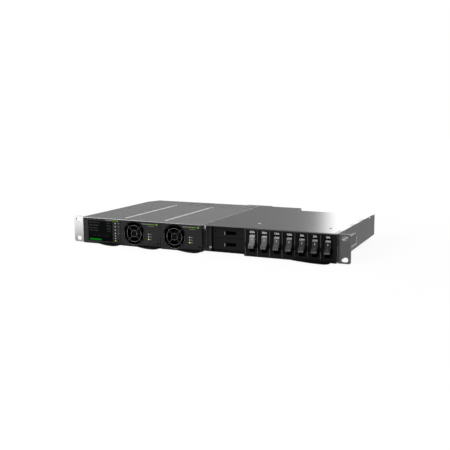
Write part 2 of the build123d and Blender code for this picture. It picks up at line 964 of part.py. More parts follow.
def rectifier_face(index):
    """The face with its round fan opening, a rebate for the guard's eyes and three light holes."""
    face = module_face(index)
    left = module_left(index)
    face -= rod_y(left + fan_x, (face_front - 1, face_back + 1), fan_z, face_opening_radius)
    lip = face.edges().filter_by(GeomType.CIRCLE).group_by(Axis.Y)[0].sort_by(SortBy.LENGTH)[-1]
    face = chamfer(lip, opening_lip)
    seat = fan_screw_spacing / 2 + guard_eye_radius + face_gap
    face -= block(
        (left + fan_x - seat, left + fan_x + seat),
        (face_back - fan_seat_depth, face_back + 1),
        (fan_z - seat, fan_z + seat),
    )
    for z in rectifier_light_heights():
        face -= rod_y(left + rectifier_light_x, (face_front - 1, face_back), z, light_radius + light_gap)
    return face


def fan_guard(index):
    """Two rings of round wire on four diagonal spokes, each bent back to an eye under a fan screw."""
    x = module_left(index) + fan_x
    radius = guard_wire / 2
    ring_y = face_front + guard_ring_set_back
    spoke_y = ring_y + guard_wire - guard_weld
    eye_y = (face_back - guard_eye_thickness, face_back)
    eye_middle = (eye_y[0] + eye_y[1]) / 2
    eye_distance = fan_screw_spacing / sqrt(2)
    bend = face_opening_radius - guard_bend_inset
    path = FilletPolyline(
        (guard_inner_ring, spoke_y, 0),
        (bend, spoke_y, 0),
        (bend + guard_bend_length, eye_middle, 0),
        (eye_distance - (guard_eye_radius + guard_eye_hole) / 2, eye_middle, 0),
        radius=guard_bend_round,
    )
    spoke = sweep(Plane(origin=path @ 0, z_dir=path % 0) * Circle(radius), path)
    spoke += rod_y(eye_distance, eye_y, 0, guard_eye_radius)
    spoke -= rod_y(eye_distance, (eye_y[0] - 1, eye_y[1] + 1), 0, guard_eye_hole)
    guard = Pos(x, ring_y, fan_z) * Rot(90, 0, 0) * Torus(guard_outer_ring, radius)
    guard += Pos(x, ring_y, fan_z) * Rot(90, 0, 0) * Torus(guard_inner_ring, radius)
    for turn in range(4):
        guard += Pos(x, 0, fan_z) * Rot(0, 45 + 90 * turn, 0) * spoke
    return guard


def fan_frame(index):
    """The square frame with its round bore, four screw holes, and a motor base on three struts."""
    x = module_left(index) + fan_x
    y = (face_back, face_back + fan_depth)
    half = fan_size / 2
    frame = block((x - half, x + half), y, (fan_z - half, fan_z + half))
    frame = fillet(frame.edges().filter_by(Axis.Y), fan_corner_radius)
    frame -= rod_y(x, (y[0] - 1, y[1] + 1), fan_z, fan_bore_radius)
    for side_x in (-1, 1):
        for side_z in (-1, 1):
            hole = (x + side_x * fan_screw_spacing / 2, fan_z + side_z * fan_screw_spacing / 2)
            frame -= rod_y(hole[0], (y[0] - 1, y[1] + 1), hole[1], guard_eye_hole)
    base_y = (y[1] - fan_base_sheet, y[1])
    frame += rod_y(x, base_y, fan_z, fan_hub_radius)
    strut = block(
        (fan_hub_radius - fan_hub_sheet, fan_bore_radius + weld),
        base_y,
        (-fan_strut_width / 2, fan_strut_width / 2),
    )
    for turn in range(3):
        frame += Pos(x, 0, fan_z) * Rot(0, 30 + 120 * turn, 0) * strut
    frame -= rod_y(x, (base_y[0] - 1, base_y[1] + 1), fan_z, fan_shaft_radius + fan_running_gap)
    return frame


def blade_section(distance, angle, middle_y):
    """A thin slanted rectangle, in a plane square to the blade's radius."""
    plane = Plane(origin=(distance, middle_y, 0), x_dir=(0, 1, 0), z_dir=(1, 0, 0))
    return plane * Rot(0, 0, angle) * Rectangle(fan_blade_chord, fan_blade_thickness)


def fan_rotor(index):
    """The hub cup, its seven twisted blades and the shaft that turns in the motor base."""
    x = module_left(index) + fan_x
    hub_y = (face_back + fan_hub_front, face_back + fan_hub_front + fan_hub_depth)
    middle_y = (hub_y[0] + hub_y[1]) / 2
    hub = rod_y(0, hub_y, 0, fan_hub_radius)
    front_rim = hub.edges().filter_by(GeomType.CIRCLE).group_by(Axis.Y)[0]
    hub = fillet(front_rim, fan_hub_round)
    hub -= rod_y(0, (hub_y[0] + fan_hub_face, hub_y[1] + 1), 0, fan_hub_radius - fan_hub_sheet)
    tip = fan_bore_radius - fan_tip_gap
    root = fan_hub_radius - fan_hub_sheet / 2
    blade = loft([
        blade_section(root, fan_blade_root_angle, middle_y),
        blade_section(tip + 1, fan_blade_tip_angle, middle_y),
    ])
    sweep_limit = rod_y(0, (hub_y[0] - 2, hub_y[1] + 2), 0, tip)
    sweep_limit -= rod_y(0, (hub_y[0] - 3, hub_y[1] + 3), 0, root)
    blade = blade & sweep_limit
    rotor = hub
    for turn in range(fan_blade_count):
        rotor += Rot(0, turn * 360 / fan_blade_count, 0) * blade
    rotor += rod_y(0, (hub_y[0] + fan_hub_face / 2, face_back + fan_depth), 0, fan_shaft_radius)
    return Pos(x, 0, fan_z) * rotor


def rectifier_board(index):
    """The power board with its finned heatsink, light board and three light pipes."""
    left = module_left(index)
    middle = module_middle(index)
    board = main_board(index)
    light_x = left + rectifier_light_x
    finger = (light_x - light_board_side, left + module_pitch - light_board_right_gap)
    board += block(finger, (light_board_front, board_front + weld), (board_low, board_low + board_sheet))
    upright_y = (light_board_front, light_board_front + board_sheet)
    board += block(finger, upright_y, (board_low, rectifier_light_top + light_board_over))
    sink_y = (board_front + heatsink_front_gap, board_back - heatsink_back_gap)
    sink_low = board_low + board_sheet
    sink_half = case_half_width - case_sheet - board_side_gap - heatsink_side_gap
    board += block((middle - sink_half, middle + sink_half), sink_y, (sink_low, sink_low + heatsink_base))
    for fin in range(heatsink_fin_count):
        fin_x = middle - sink_half + fin * (2 * sink_half - heatsink_fin_sheet) / (heatsink_fin_count - 1)
        board += block((fin_x, fin_x + heatsink_fin_sheet), sink_y, (sink_low, sink_low + heatsink_height))
    for z in rectifier_light_heights():
        board += rod_y(light_x, (face_front - light_proud, light_board_front + weld), z, light_radius)
    return board


# Load breakers

def load_x(index):
    """Middle of a load breaker's window."""
    return first_load_x + index * load_pitch


def breaker_bezel():
    """The black panel frame with one window per breaker and a skirt behind it."""
    x = (load_panel_left, load_panel_right)
    panel_back = load_cover_front - joint_gap
    panel = block(x, (load_panel_front, panel_back), (load_panel_low, load_panel_high))
    panel = fillet(panel.edges().filter_by(Axis.X).group_by(Axis.Y)[0], load_panel_edge_round)
    skirt_x = (x[0], shell_right - shell_sheet - face_gap)
    panel += block(skirt_x, (panel_back, load_panel_skirt_back), (load_panel_low, face_top))
    inner_x = (load_x(0) - load_window_width / 2, load_x(load_count - 1) + load_window_width / 2)
    panel -= block(
        inner_x,
        (load_panel_front + load_panel_wall, load_panel_skirt_back + 1),
        (load_window_bottom, load_window_top),
    )
    for index in range(load_count):
        half = load_window_width / 2
        panel -= block(
            (load_x(index) - half, load_x(index) + half),
            (load_panel_front - 1, load_panel_front + 2 * load_panel_wall),
            (load_window_bottom, load_window_top),
        )
    notch = (pull_left - face_gap, pull_right + face_gap)
    panel -= block(
        notch,
        (load_panel_front - 1, load_panel_front + pull_root),
        (load_panel_low - 1, load_panel_low + pull_thickness),
    )
    ribs = panel.edges().filter_by(Axis.Z).group_by(Axis.Y)[0]
    ribs = ribs.filter_by_position(Axis.X, inner_x[0] - 0.01, inner_x[1] + 0.01)
    return chamfer(ribs, load_rib_chamfer)


def panel_pull():
    """The fixed finger lip under the load breakers."""
    outline = lever_outline(
        pull_left,
        pull_right,
        pull_right - pull_peak_inset,
        pull_reach,
        load_panel_front + pull_root,
        load_panel_front,
    )
    pull = Pos(0, 0, load_panel_low) * extrude(outline, pull_thickness)
    return round_front_edges(pull, load_panel_front)


def load_breaker(index):
    """A breaker body: its face fills the window, with a pocket and pivot holes for the rocker."""
    x = load_x(index)
    half = load_window_width / 2 - breaker_side_gap
    low = load_window_bottom + breaker_side_gap
    body = block((x - half, x + half), (breaker_front, breaker_foot_front), (low, breaker_high))
    body += block((x - half, x + half), (breaker_foot_front, breaker_back), (floor_high, breaker_high))
    middle = x + rocker_shift
    pocket = rocker_window_width / 2
    body -= block(
        (middle - pocket, middle + pocket),
        (breaker_front - 1, rocker_pocket_back),
        (-rocker_pocket_height / 2, rocker_pocket_height / 2 - rocker_pocket_low),
    )
    pin_reach = pocket + rocker_pin_length + pin_end_gap
    hole_radius = rocker_pin_radius + rocker_pin_gap
    body -= rod_x((middle - pin_reach, middle + pin_reach), rocker_pivot_y, 0, hole_radius)
    terminal_low = load_busbar_low + busbar_sheet
    body += block(
        (x - breaker_terminal_width / 2, x + breaker_terminal_width / 2),
        (breaker_back, breaker_back + breaker_terminal_length),
        (terminal_low, terminal_low + breaker_terminal_sheet),
    )
    body += block(
        (x - breaker_terminal_width / 2, x + breaker_terminal_width / 2),
        (breaker_back, breaker_back + breaker_terminal_length),
        (-terminal_low - breaker_terminal_sheet, -terminal_low),
    )
    return body


def rating_labels():
    """One small label plate above each rocker."""
    labels = []
    for index in range(load_count):
        x = load_x(index) + rocker_shift
        labels.append(block(
            (x - label_width / 2, x + label_width / 2),
            (breaker_front - label_sheet, breaker_front),
            (label_low, label_high),
        ))
    return Compound(children=labels)


def rocker_points():
    """Half of the rocker's side outline, from its middle line up, as (y, z) from the pivot."""
    half_angle = radians(rocker_half_angle)
    nose_angle = radians(rocker_nose_angle)
    vertex = (-rocker_pivot_depth, 0.0)
    crest = (vertex[0] - rocker_facet * sin(half_angle), rocker_facet * cos(half_angle))
    nose = (crest[0] + rocker_nose * sin(nose_angle), crest[1] + rocker_nose * cos(nose_angle))
    back = (nose[0] + rocker_wall, nose[1] - rocker_wall * rocker_nose_slant)
    hub = (0.0, rocker_hub_radius)
    return vertex, crest, nose, back, hub


def rocker(index):
    """A rocker at its ON end: a hollow-faced seesaw with a hub and two pivot pins."""
    middle = load_x(index) + rocker_shift
    vertex, crest, nose, back, hub = rocker_points()
    upper = [vertex, crest, nose, back, hub]
    lower = [(y, -z) for y, z in reversed(upper[1:])]
    x = (-rocker_width / 2, rocker_width / 2)
    body = side_profile(upper + lower, x) + rod_x(x, 0, 0, rocker_hub_radius)
    crest_edges = [edge for edge in body.edges().filter_by(Axis.X)
                   if abs(edge.center().Y - crest[0]) < 0.01 or abs(edge.center().Y - nose[0]) < 0.01]
    body = fillet(crest_edges, rocker_edge_round)
    past_side = rocker_window_gap + rocker_pin_length
    pins = (x[0] - past_side, x[1] + past_side)
    body += rod_x(pins, 0, 0, rocker_pin_radius)
    return Pos(middle, rocker_pivot_y, 0) * Rot(-rocker_half_angle, 0, 0) * body


# Battery breakers

def battery_z(index):
    """Middle height of a battery breaker, counted from the top one."""
    return battery_low + battery_height * (battery_count - index - 0.5)


def battery_breaker(index):
    """A breaker lying on its side, with a toggle window, pivot holes and a small test hole."""
    z = battery_z(index)
    body = block(
        (battery_left, battery_right),
        (battery_front, battery_back),
        (z - battery_height / 2, z + battery_height / 2),
    )
    body = chamfer(body.edges().group_by(Axis.Y)[0], battery_edge_cut)
    window_z = z - toggle_window_drop
    window_left = battery_left + toggle_window_left
    body -= block(
        (window_left, window_left + toggle_window_length),
        (battery_front - 1, toggle_pivot_y + toggle_hub_radius + toggle_window_back_gap),
        (window_z - toggle_window_height / 2, window_z + toggle_window_height / 2),
    )
    pin_reach = toggle_window_height / 2 + toggle_pin_length + pin_end_gap
    body -= rod_z(
        toggle_pivot_x,
        toggle_pivot_y,
        (window_z - pin_reach, window_z + pin_reach),
        toggle_pin_radius + toggle_pin_gap,
    )
    body -= rod_y(
        battery_left + battery_hole_x,
        (battery_front - 1, battery_front + battery_hole_depth),
        z,
        battery_hole_radius,
    )
    return body


def battery_toggle(index):
    """A toggle lever at the left end of its window, on two pivot pins."""
    z = battery_z(index) - toggle_window_drop
    half = toggle_window_height / 2 - toggle_height_gap
    lever = block((-toggle_width / 2, toggle_width / 2), (-toggle_reach, 0), (-half, half))
    lever = fillet(lever.edges().filter_by(Axis.Z).group_by(Axis.Y)[0], toggle_edge_round)
    lever += rod_z(0, 0, (-half, half), toggle_hub_radius)
    pin = half + toggle_height_gap + toggle_pin_length
    lever += rod_z(0, 0, (-pin, pin), toggle_pin_radius)
    return Pos(toggle_pivot_x, toggle_pivot_y, z) * Rot(0, 0, -toggle_swing) * lever


# Backplane, busbars and rear terminals

def backplane_board():
    """The upright board behind the modules, which carries their sockets."""
    return block(
        (first_module_left + backplane_side_gap, end_wall_left - backplane_side_gap),
        (backplane_front, backplane_front + board_sheet),
        (floor_high, cover_low - backplane_top_gap),
    )


def backplane_socket(index):
    """A connector block on the backplane that takes a module's contact tongue."""
    middle = module_middle(index)
    half = socket_width / 2
    middle_z = board_low + board_sheet / 2
    z = (middle_z - socket_height / 2, middle_z + socket_height / 2)
    socket = block((middle - half, middle + half), (socket_front, backplane_front), z)
    slot_half = tongue_width / 2 + socket_slot_gap
    socket -= block(
        (middle - slot_half, middle + slot_half),
        (socket_front - 1, case_length + tongue_reach + 1),
        (board_low - socket_slot_gap, board_low + board_sheet + socket_slot_gap),
    )
    return socket


def stepped_busbar(low, link_x, front_y, right):
    """A flat copper bar: along the backplane, forward, then to the right."""
    z = (low, low + busbar_sheet)
    rear_y = (busbar_back_y, busbar_back_y + busbar_width)
    bar = block((busbar_left, link_x + busbar_width), rear_y, z)
    bar += block((link_x, link_x + busbar_width), (front_y, rear_y[1]), z)
    bar += block((link_x, right), (front_y, front_y + busbar_width), z)
    return bar


def busbar_posts(low, reach):
    """Posts that tie a busbar back to the backplane."""
    post_y = (backplane_front + board_sheet, busbar_back_y)
    middle_z = low + busbar_sheet / 2
    return [rod_y(module_middle(index) + reach, post_y, middle_z, busbar_post_radius) for index in range(3)]


def load_busbar():
    """The lower bar, from the backplane to the terminals of the load breakers."""
    right = load_x(load_count - 1) + load_busbar_past_breaker
    bar = stepped_busbar(load_busbar_low, step_left - load_link_inset, load_busbar_front_y, right)
    for post in busbar_posts(load_busbar_low, -busbar_post_reach):
        bar += post
    return bar


def return_busbar():
    """The upper bar, from the backplane to the space before the output terminals."""
    right = output_right - return_busbar_short
    bar = stepped_busbar(return_busbar_low, step_left - return_link_inset, return_busbar_front_y, right)
    for post in busbar_posts(return_busbar_low, busbar_post_reach):
        bar += post
    return bar


def inlet_x(index):
    """Middle of an AC inlet."""
    return shell_left + inlet_edge + index * inlet_pitch


def ac_inlet(index):
    """A three-pin mains inlet, its rim on the rear wall."""
    x = inlet_x(index)
    half_x = inlet_width / 2
    half_z = inlet_height / 2
    z = inlet_middle_z
    rim_back = shell_depth + inlet_rim_sheet
    body = block((x - half_x, x + half_x), (inlet_front, rim_back), (z - half_z, z + half_z))
    body += block(
        (x - half_x - inlet_rim, x + half_x + inlet_rim),
        (shell_depth, rim_back),
        (z - half_z - inlet_rim, z + half_z + inlet_rim),
    )
    body -= block(
        (x - half_x + inlet_wall, x + half_x - inlet_wall),
        (inlet_front + inlet_wall, rim_back + 1),
        (z - half_z + inlet_wall, z + half_z - inlet_wall),
    )
    for step in (-1, 0, 1):
        pin_x = x + step * inlet_pin_spacing
        pin_z = z + inlet_pin_lift if step == 0 else z - inlet_pin_drop
        body += block(
            (pin_x - inlet_pin_width / 2, pin_x + inlet_pin_width / 2),
            (inlet_front + inlet_wall - inlet_pin_root, rim_back - inlet_pin_set_back),
            (pin_z - inlet_pin_height / 2, pin_z + inlet_pin_height / 2),
        )
    return body


def alarm_terminal_block():
    """The wide terminal strip for alarm wires at the top of the rear wall."""
    x = (alarm_left, alarm_right)
    body = block(x, (inlet_front, alarm_back), (alarm_low, alarm_high))
    body += block(x, (shell_depth + face_gap, alarm_back), (alarm_low, top - alarm_lip_gap))
    pitch = (alarm_right - alarm_left) / alarm_way_count
    for way in range(alarm_way_count):
        way_x = alarm_left + (way + 0.5) * pitch
        body -= block(
            (way_x - alarm_way_hole, way_x + alarm_way_hole),
            (alarm_back - alarm_way_depth, alarm_back + 1),
            (alarm_low + alarm_way_lift, alarm_low + alarm_way_lift + 2 * alarm_way_hole),
        )
    return body


def output_terminal_block():
    """The barrier strip for the load cables, on the raised shelf."""
    x = (output_left, output_right)
    strip = block(x, (output_front, output_back), (shelf_high, shelf_high + output_base_height))
    pitch = (output_right - output_left - output_barrier_sheet) / load_count
    for barrier in range(load_count + 1):
        barrier_x = output_left + barrier * pitch
        strip += block(
            (barrier_x, barrier_x + output_barrier_sheet),
            (output_front, output_back),
            (shelf_high, shelf_high + output_barrier_height),
        )
    return strip


def cover_screw(x, y):
    """A low pan-head screw in a cover."""
    head = rod_z(x, y, (top, top + screw_head_height), screw_head_radius)
    return head + rod_z(x, y, (top - stud_length, top + screw_head_height / 2), screw_shank_radius)


def recess_screw(x, z):
    """A pan-head screw in the end wall's front flange."""
    front = tray_front + face_gap
    head = rod_y(x, (front - screw_head_height, front), z, recess_head_radius)
    return head + rod_y(x, (front - screw_head_height / 2, front + screw_shank_length), z, screw_shank_radius)


def fastening_screws():
    """All cover screws and recess screws, as one group."""
    screws = [cover_screw(x, y) for x, y in cover_screw_places]
    screws += [recess_screw(x, z) for x, z in recess_screw_places]
    return Compound(children=screws)


def all_parts():
    """Every named piece with its solid."""
    parts = {
        "chassis_tray": chassis_tray(),
        "right_side_plate": right_side_plate(),
        "left_ear": left_ear(),
        "right_ear": right_ear(),
        "module_cover": module_cover(),
        "distribution_cover": distribution_cover(),
        "bay_divider_1": bay_divider(1),
        "bay_divider_2": bay_divider(2),
        "bay_divider_3": end_wall(),
        "backplane_board": backplane_board(),
        "load_busbar": load_busbar(),
        "return_busbar": return_busbar(),
        "alarm_terminal_block": alarm_terminal_block(),
        "output_terminal_block": output_terminal_block(),
        "breaker_bezel": breaker_bezel(),
        "panel_pull": panel_pull(),
        "rating_labels": rating_labels(),
        "fastening_screws": fastening_screws(),
        "controller_face": controller_face(),
        "controller_case": case_shell(0),
        "controller_board": controller_board(),
        "controller_lever": release_lever(0),
        "display_window": display_window(),
    }
    for index in range(3):
        parts[f"backplane_socket_{index + 1}"] = backplane_socket(index)
    for index in range(inlet_count):
        parts[f"ac_inlet_{index + 1}"] = ac_inlet(index)
    for index in range(load_count):
        parts[f"load_breaker_{index + 1}"] = load_breaker(index)
        parts[f"rocker_{index + 1}"] = rocker(index)
    for index in range(battery_count):
        parts[f"battery_breaker_{index + 1}"] = battery_breaker(index)
        parts[f"battery_toggle_{index + 1}"] = battery_toggle(index)
    for index in (1, 2):
        name = f"rectifier_{index}"
        parts[f"{name}_face"] = rectifier_face(index)
        parts[f"{name}_case"] = case_shell(index)
        parts[f"{name}_board"] = rectifier_board(index)
        parts[f"{name}_lever"] = release_lever(index)
        parts[f"{name}_fan_guard"] = fan_guard(index)
        parts[f"{name}_fan_frame"] = fan_frame(index)
        parts[f"{name}_fan_rotor"] = fan_rotor(index)
    return parts


os.makedirs("parts", exist_ok=True)
for node, solid in all_parts().items():
    export_step(solid, f"parts/{node}.step")
print("rocker pivot y", round(rocker_pivot_y, 3), "lever pin", round(lever_pin_y, 3), round(lever_pin_z, 3))
print("toggle pivot", round(toggle_pivot_x, 3), round(toggle_pivot_y, 3), "fan z", round(fan_z, 3))
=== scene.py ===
# %% [markdown]
# # Dressing a one-unit DC power system
# The metal and plastic pieces of this rack unit already exist at their real size and place. This
# lesson gives them their finishes, adds the small things that only the eye needs, such as print,
# lamps and screw recesses, and lights them as a product photographer would. Lengths are in metres.

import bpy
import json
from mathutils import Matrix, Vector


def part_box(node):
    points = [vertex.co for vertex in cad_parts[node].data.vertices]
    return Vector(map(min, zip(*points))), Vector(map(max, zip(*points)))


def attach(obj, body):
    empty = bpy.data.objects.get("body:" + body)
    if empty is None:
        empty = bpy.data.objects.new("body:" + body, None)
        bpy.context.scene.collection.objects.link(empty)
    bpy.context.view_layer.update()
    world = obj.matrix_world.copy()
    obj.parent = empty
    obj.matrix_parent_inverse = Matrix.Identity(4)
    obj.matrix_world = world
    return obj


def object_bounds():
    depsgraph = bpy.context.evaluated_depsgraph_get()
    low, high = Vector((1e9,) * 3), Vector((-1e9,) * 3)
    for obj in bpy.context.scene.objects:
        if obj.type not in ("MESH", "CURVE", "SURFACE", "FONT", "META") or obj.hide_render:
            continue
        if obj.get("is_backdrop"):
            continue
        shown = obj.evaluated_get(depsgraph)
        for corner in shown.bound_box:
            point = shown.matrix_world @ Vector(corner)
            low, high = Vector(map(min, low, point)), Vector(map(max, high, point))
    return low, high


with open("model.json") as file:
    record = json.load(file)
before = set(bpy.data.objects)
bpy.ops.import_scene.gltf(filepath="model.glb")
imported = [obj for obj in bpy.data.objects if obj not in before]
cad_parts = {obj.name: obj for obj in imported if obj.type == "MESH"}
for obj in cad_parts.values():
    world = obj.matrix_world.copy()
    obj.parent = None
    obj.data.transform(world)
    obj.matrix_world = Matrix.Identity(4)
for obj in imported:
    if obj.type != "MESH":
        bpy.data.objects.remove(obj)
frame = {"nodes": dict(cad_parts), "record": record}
cad_low, cad_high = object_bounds()
print("frame loaded:", len(frame["nodes"]), "nodes from", tuple(cad_low), "to", tuple(cad_high))

# %% Modules used below
import json
from math import cos, pi, radians, sin

import bmesh
import bpy
from mathutils import Matrix, Vector

mm = 0.001
nodes = frame["nodes"]
part_slots = {part["node"]: part["material_slot"] for part in frame["record"]["subparts"]}
print("finishes asked for by the record:", len(set(part_slots.values())))

# %% [markdown]
# ## The camera
# The photograph shows the unit from the front right, a little above it. A camera could be aimed at
# a target with a constraint. Here its rotation matrix is built from three measured angles, because
# that is exact and easy to read: the view is turned left, tipped down and rolled by a hair.

# %% Place the camera
camera_place = Vector((0.51682, -1.01808, 0.20340))
camera_turn = radians(24.999)
camera_tip = radians(9.101)
camera_roll = radians(-0.325)
camera_lens = 58.97
camera_sensor = 36

ahead = Vector((
    -sin(camera_turn) * cos(camera_tip),
    cos(camera_turn) * cos(camera_tip),
    -sin(camera_tip),
))
level_right = Vector((cos(camera_turn), sin(camera_turn), 0))
level_up = level_right.cross(ahead)
picture_right = cos(camera_roll) * level_right + sin(camera_roll) * level_up
picture_up = cos(camera_roll) * level_up - sin(camera_roll) * level_right
camera_axes = Matrix((picture_right, picture_up, -ahead)).transposed()

camera_data = bpy.data.cameras.new("photo_camera")
camera_data.lens = camera_lens
camera_data.sensor_width = camera_sensor
camera = bpy.data.objects.new("photo_camera", camera_data)
camera.matrix_world = Matrix.Translation(camera_place) @ camera_axes.to_4x4()
bpy.context.scene.collection.objects.link(camera)
bpy.context.scene.camera = camera
print("camera looks along", tuple(round(v, 3) for v in ahead))

# %% [markdown]
# ## Small tools for shader graphs
# Every finish below is a Principled shader with a few nodes in front of it. These helpers add a
# node, join two sockets and give a surface its grain. A surface could be unwrapped and painted, but
# here the grain is read from Object coordinates, which are metres on the object itself, so it keeps
# its true scale and needs no unwrapping.

# %% Helpers for materials
finishes = {}


def new_finish(name, metallic, roughness, specular=0.5):
    """A material with its Principled shader; even values go straight on the shader's sockets."""
    material = bpy.data.materials.new(name)
    material.use_nodes = True
    shader = material.node_tree.nodes["Principled BSDF"]
    shader.inputs["Metallic"].default_value = metallic
    shader.inputs["Roughness"].default_value = roughness
    shader.inputs["Specular IOR Level"].default_value = specular
    finishes[name] = material
    return material, shader


def add(material, kind, **values):
    """Adds a shader node and sets its named properties."""
    node = material.node_tree.nodes.new(kind)
    for key, value in values.items():
        setattr(node, key, value)
    return node


def join(material, start, end):
    """Links one node's output to another's input."""
    material.node_tree.links.new(start, end)


print("node helpers ready")

# %% Grain, tint, relief and roughness
def grain_field(material, stretch, detail=3.0):
    """Noise on the piece's own coordinates; stretch is the count of grains in a metre of X, Y and Z."""
    place = add(material, "ShaderNodeTexCoord")
    scaled = add(material, "ShaderNodeMapping")
    scaled.inputs["Scale"].default_value = stretch
    noise = add(material, "ShaderNodeTexNoise")
    noise.inputs["Scale"].default_value = 1.0
    noise.inputs["Detail"].default_value = detail
    join(material, place.outputs["Object"], scaled.inputs["Vector"])
    join(material, scaled.outputs["Vector"], noise.inputs["Vector"])
    return noise.outputs["Fac"]


def tint(material, shader, field, dark, light, start=0.3, end=0.7):
    """Colours the surface between two tones, following a field from start to end."""
    ramp = add(material, "ShaderNodeValToRGB")
    ramp.color_ramp.elements[0].position = start
    ramp.color_ramp.elements[1].position = end
    ramp.color_ramp.elements[0].color = (*dark, 1)
    ramp.color_ramp.elements[1].color = (*light, 1)
    join(material, field, ramp.inputs["Fac"])
    join(material, ramp.outputs["Color"], shader.inputs["Base Color"])


def relief(material, shader, field, height, edge_radius=0.0):
    """Fine bump, over soft edges where a radius is given, as bent sheet and mouldings have them."""
    bump = add(material, "ShaderNodeBump")
    bump.inputs["Strength"].default_value = 1.0
    bump.inputs["Distance"].default_value = height
    if edge_radius:
        edges = add(material, "ShaderNodeBevel", samples=4)
        edges.inputs["Radius"].default_value = edge_radius
        join(material, edges.outputs["Normal"], bump.inputs["Normal"])
    join(material, field, bump.inputs["Height"])
    join(material, bump.outputs["Normal"], shader.inputs["Normal"])


def rough_field(material, shader, field, low, high):
    """Lets the roughness wander between two values."""
    spread = add(material, "ShaderNodeMapRange")
    spread.inputs["To Min"].default_value = low
    spread.inputs["To Max"].default_value = high
    join(material, field, spread.inputs["Value"])
    join(material, spread.outputs["Result"], shader.inputs["Roughness"])


def grey(level, warmth=0.0):
    """A grey of that linear level, a little warm or cool."""
    return (level * (1 + warmth), level, level * (1 - warmth))


print("surface helpers ready")

# %% [markdown]
# ## Sheet steel
# The covers, the tray, the ears and the side plate are zinc-plated sheet with a satin skin. It is a
# metal, so its colour is the colour of its reflections, and a middle roughness blurs them. A picture
# of steel would repeat and blur up close. Computed noise does not: slow clouds vary the tone, and a
# fine grain along the rolling direction breaks the surface up without showing as a pattern.

# %% Plain steel
steel_tones = {
    "side_steel": 0.40,
    "ear_steel": 0.29,
    "guard_wire": 0.11,
}
steel_roughness = 0.30
roughness_spread = 0.03
cloud_depth = 0.035
cloud_warmth = 0.004
steel_grain = (260, 30, 260)
steel_cloud = (9, 9, 9)
steel_grain_height = 0.0002 * mm
steel_edge = 0.35 * mm

for name, tone in steel_tones.items():
    material, shader = new_finish(name, metallic=1.0, roughness=steel_roughness)
    cloud = grain_field(material, steel_cloud, detail=2.0)
    tint(
        material,
        shader,
        cloud,
        grey(tone * (1 - cloud_depth)),
        grey(tone * (1 + cloud_depth), cloud_warmth),
    )
    grain = grain_field(material, steel_grain)
    rough_field(
        material,
        shader,
        grain,
        steel_roughness - roughness_spread,
        steel_roughness + roughness_spread,
    )
    relief(material, shader, grain, steel_grain_height, steel_edge)
print("plain steel finishes:", sorted(steel_tones))

# %% [markdown]
# ## Steel that changes with its place
# Some sheets look different where they stand in the shade of their neighbours. That could be painted
# on their vertices. A mask made from the sheet's own coordinates is simpler, and it stays in place
# if the mesh changes: it is 1 where the sheet is bright and 0 where it is dark. The sizes below give
# where a mask begins and where it is full, in metres on the piece.

# %% Masks from a piece's own coordinates
def own_place(material):
    """The piece's own coordinates, as outputs named X, Y and Z."""
    place = add(material, "ShaderNodeTexCoord")
    parts = add(material, "ShaderNodeSeparateXYZ")
    join(material, place.outputs["Object"], parts.inputs["Vector"])
    return parts.outputs


def rising(material, value, low, high):
    """0 below low, 1 above high. With low above high it falls instead."""
    step = add(material, "ShaderNodeMapRange")
    step.inputs["From Min"].default_value = low
    step.inputs["From Max"].default_value = high
    join(material, value, step.inputs["Value"])
    return step.outputs["Result"]


def combine(material, operation, first, second):
    """Multiplies two masks, or takes the larger one."""
    node = add(material, "ShaderNodeMath", operation=operation)
    join(material, first, node.inputs[0])
    join(material, second, node.inputs[1])
    return node.outputs["Value"]


print("mask helpers ready")

# %% Colours that follow a mask or the height
def fine_grain(material, shader, edge=steel_edge):
    """The fine rolling grain of a sheet, over its soft edges."""
    relief(material, shader, grain_field(material, steel_grain), steel_grain_height, edge)


def two_tone(material, shader, mask, dark, bright, edge=steel_edge):
    """Blends two greys by a mask from 0 to 1, under the fine grain."""
    ramp = add(material, "ShaderNodeValToRGB")
    ramp.color_ramp.elements[0].color = (*grey(dark), 1)
    ramp.color_ramp.elements[1].color = (*grey(bright), 1)
    join(material, mask, ramp.inputs["Fac"])
    join(material, ramp.outputs["Color"], shader.inputs["Base Color"])
    fine_grain(material, shader, edge)


def height_shades(material, shader, low, high, stops):
    """Colours a piece by the height on it, between low and high; stops are (share, colour)."""
    ramp = add(material, "ShaderNodeValToRGB")
    marks = ramp.color_ramp.elements
    while len(marks) < len(stops):
        marks.new(0.5)
    for mark, (position, colour) in zip(marks, stops):
        mark.position = position
        mark.color = (*colour, 1)
    join(material, rising(material, own_place(material)["Z"], low, high), ramp.inputs["Fac"])
    join(material, ramp.outputs["Color"], shader.inputs["Base Color"])


print("colour helpers ready")

# %% [markdown]
# The two covers are the widest sheets, and their tone decides how the whole unit looks. Their tops
# are smooth, with slow clouds from the zinc bath. Their front edges are painted much darker, as
# painted shade that keeps the rounded edge from shining. The module cover's steel is painted lighter
# than the other cover's, as painted light. A second material on the edge faces would do too, but then
# each face has to be picked out. The mask finds them by their distance from the cover's front.

# %% The covers
# The module cover's tone is set lighter than the other cover's, as painted light.
cover_finishes = {
    "module_cover": ("module_cover_steel", 0.81),
    "distribution_cover": ("cover_steel", 0.51),
}
cover_roughness = 0.21
cover_cloud_low = 0.93
cover_edge = 0.25 * mm
# The covers' front edges are painted darker, as shade, over these distances from the front.
edge_shade_share = 0.30
edge_shade_end = 0.5 * mm
top_start = 1.2 * mm

for node, (name, tone) in cover_finishes.items():
    material, shader = new_finish(name, metallic=1.0, roughness=cover_roughness)
    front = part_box(node)[0].y
    cloud = add(material, "ShaderNodeMapRange")
    cloud.inputs["To Min"].default_value = cover_cloud_low
    join(material, grain_field(material, steel_cloud, detail=2.0), cloud.inputs["Value"])
    depth_on_cover = own_place(material)["Y"]
    behind_edge = rising(material, depth_on_cover, front + edge_shade_end, front + top_start)
    top = combine(material, "MULTIPLY", behind_edge, cloud.outputs["Result"])
    two_tone(material, shader, top, dark=edge_shade_share * tone, bright=tone, edge=cover_edge)
print("cover finishes:", [name for name, tone in cover_finishes.values()])

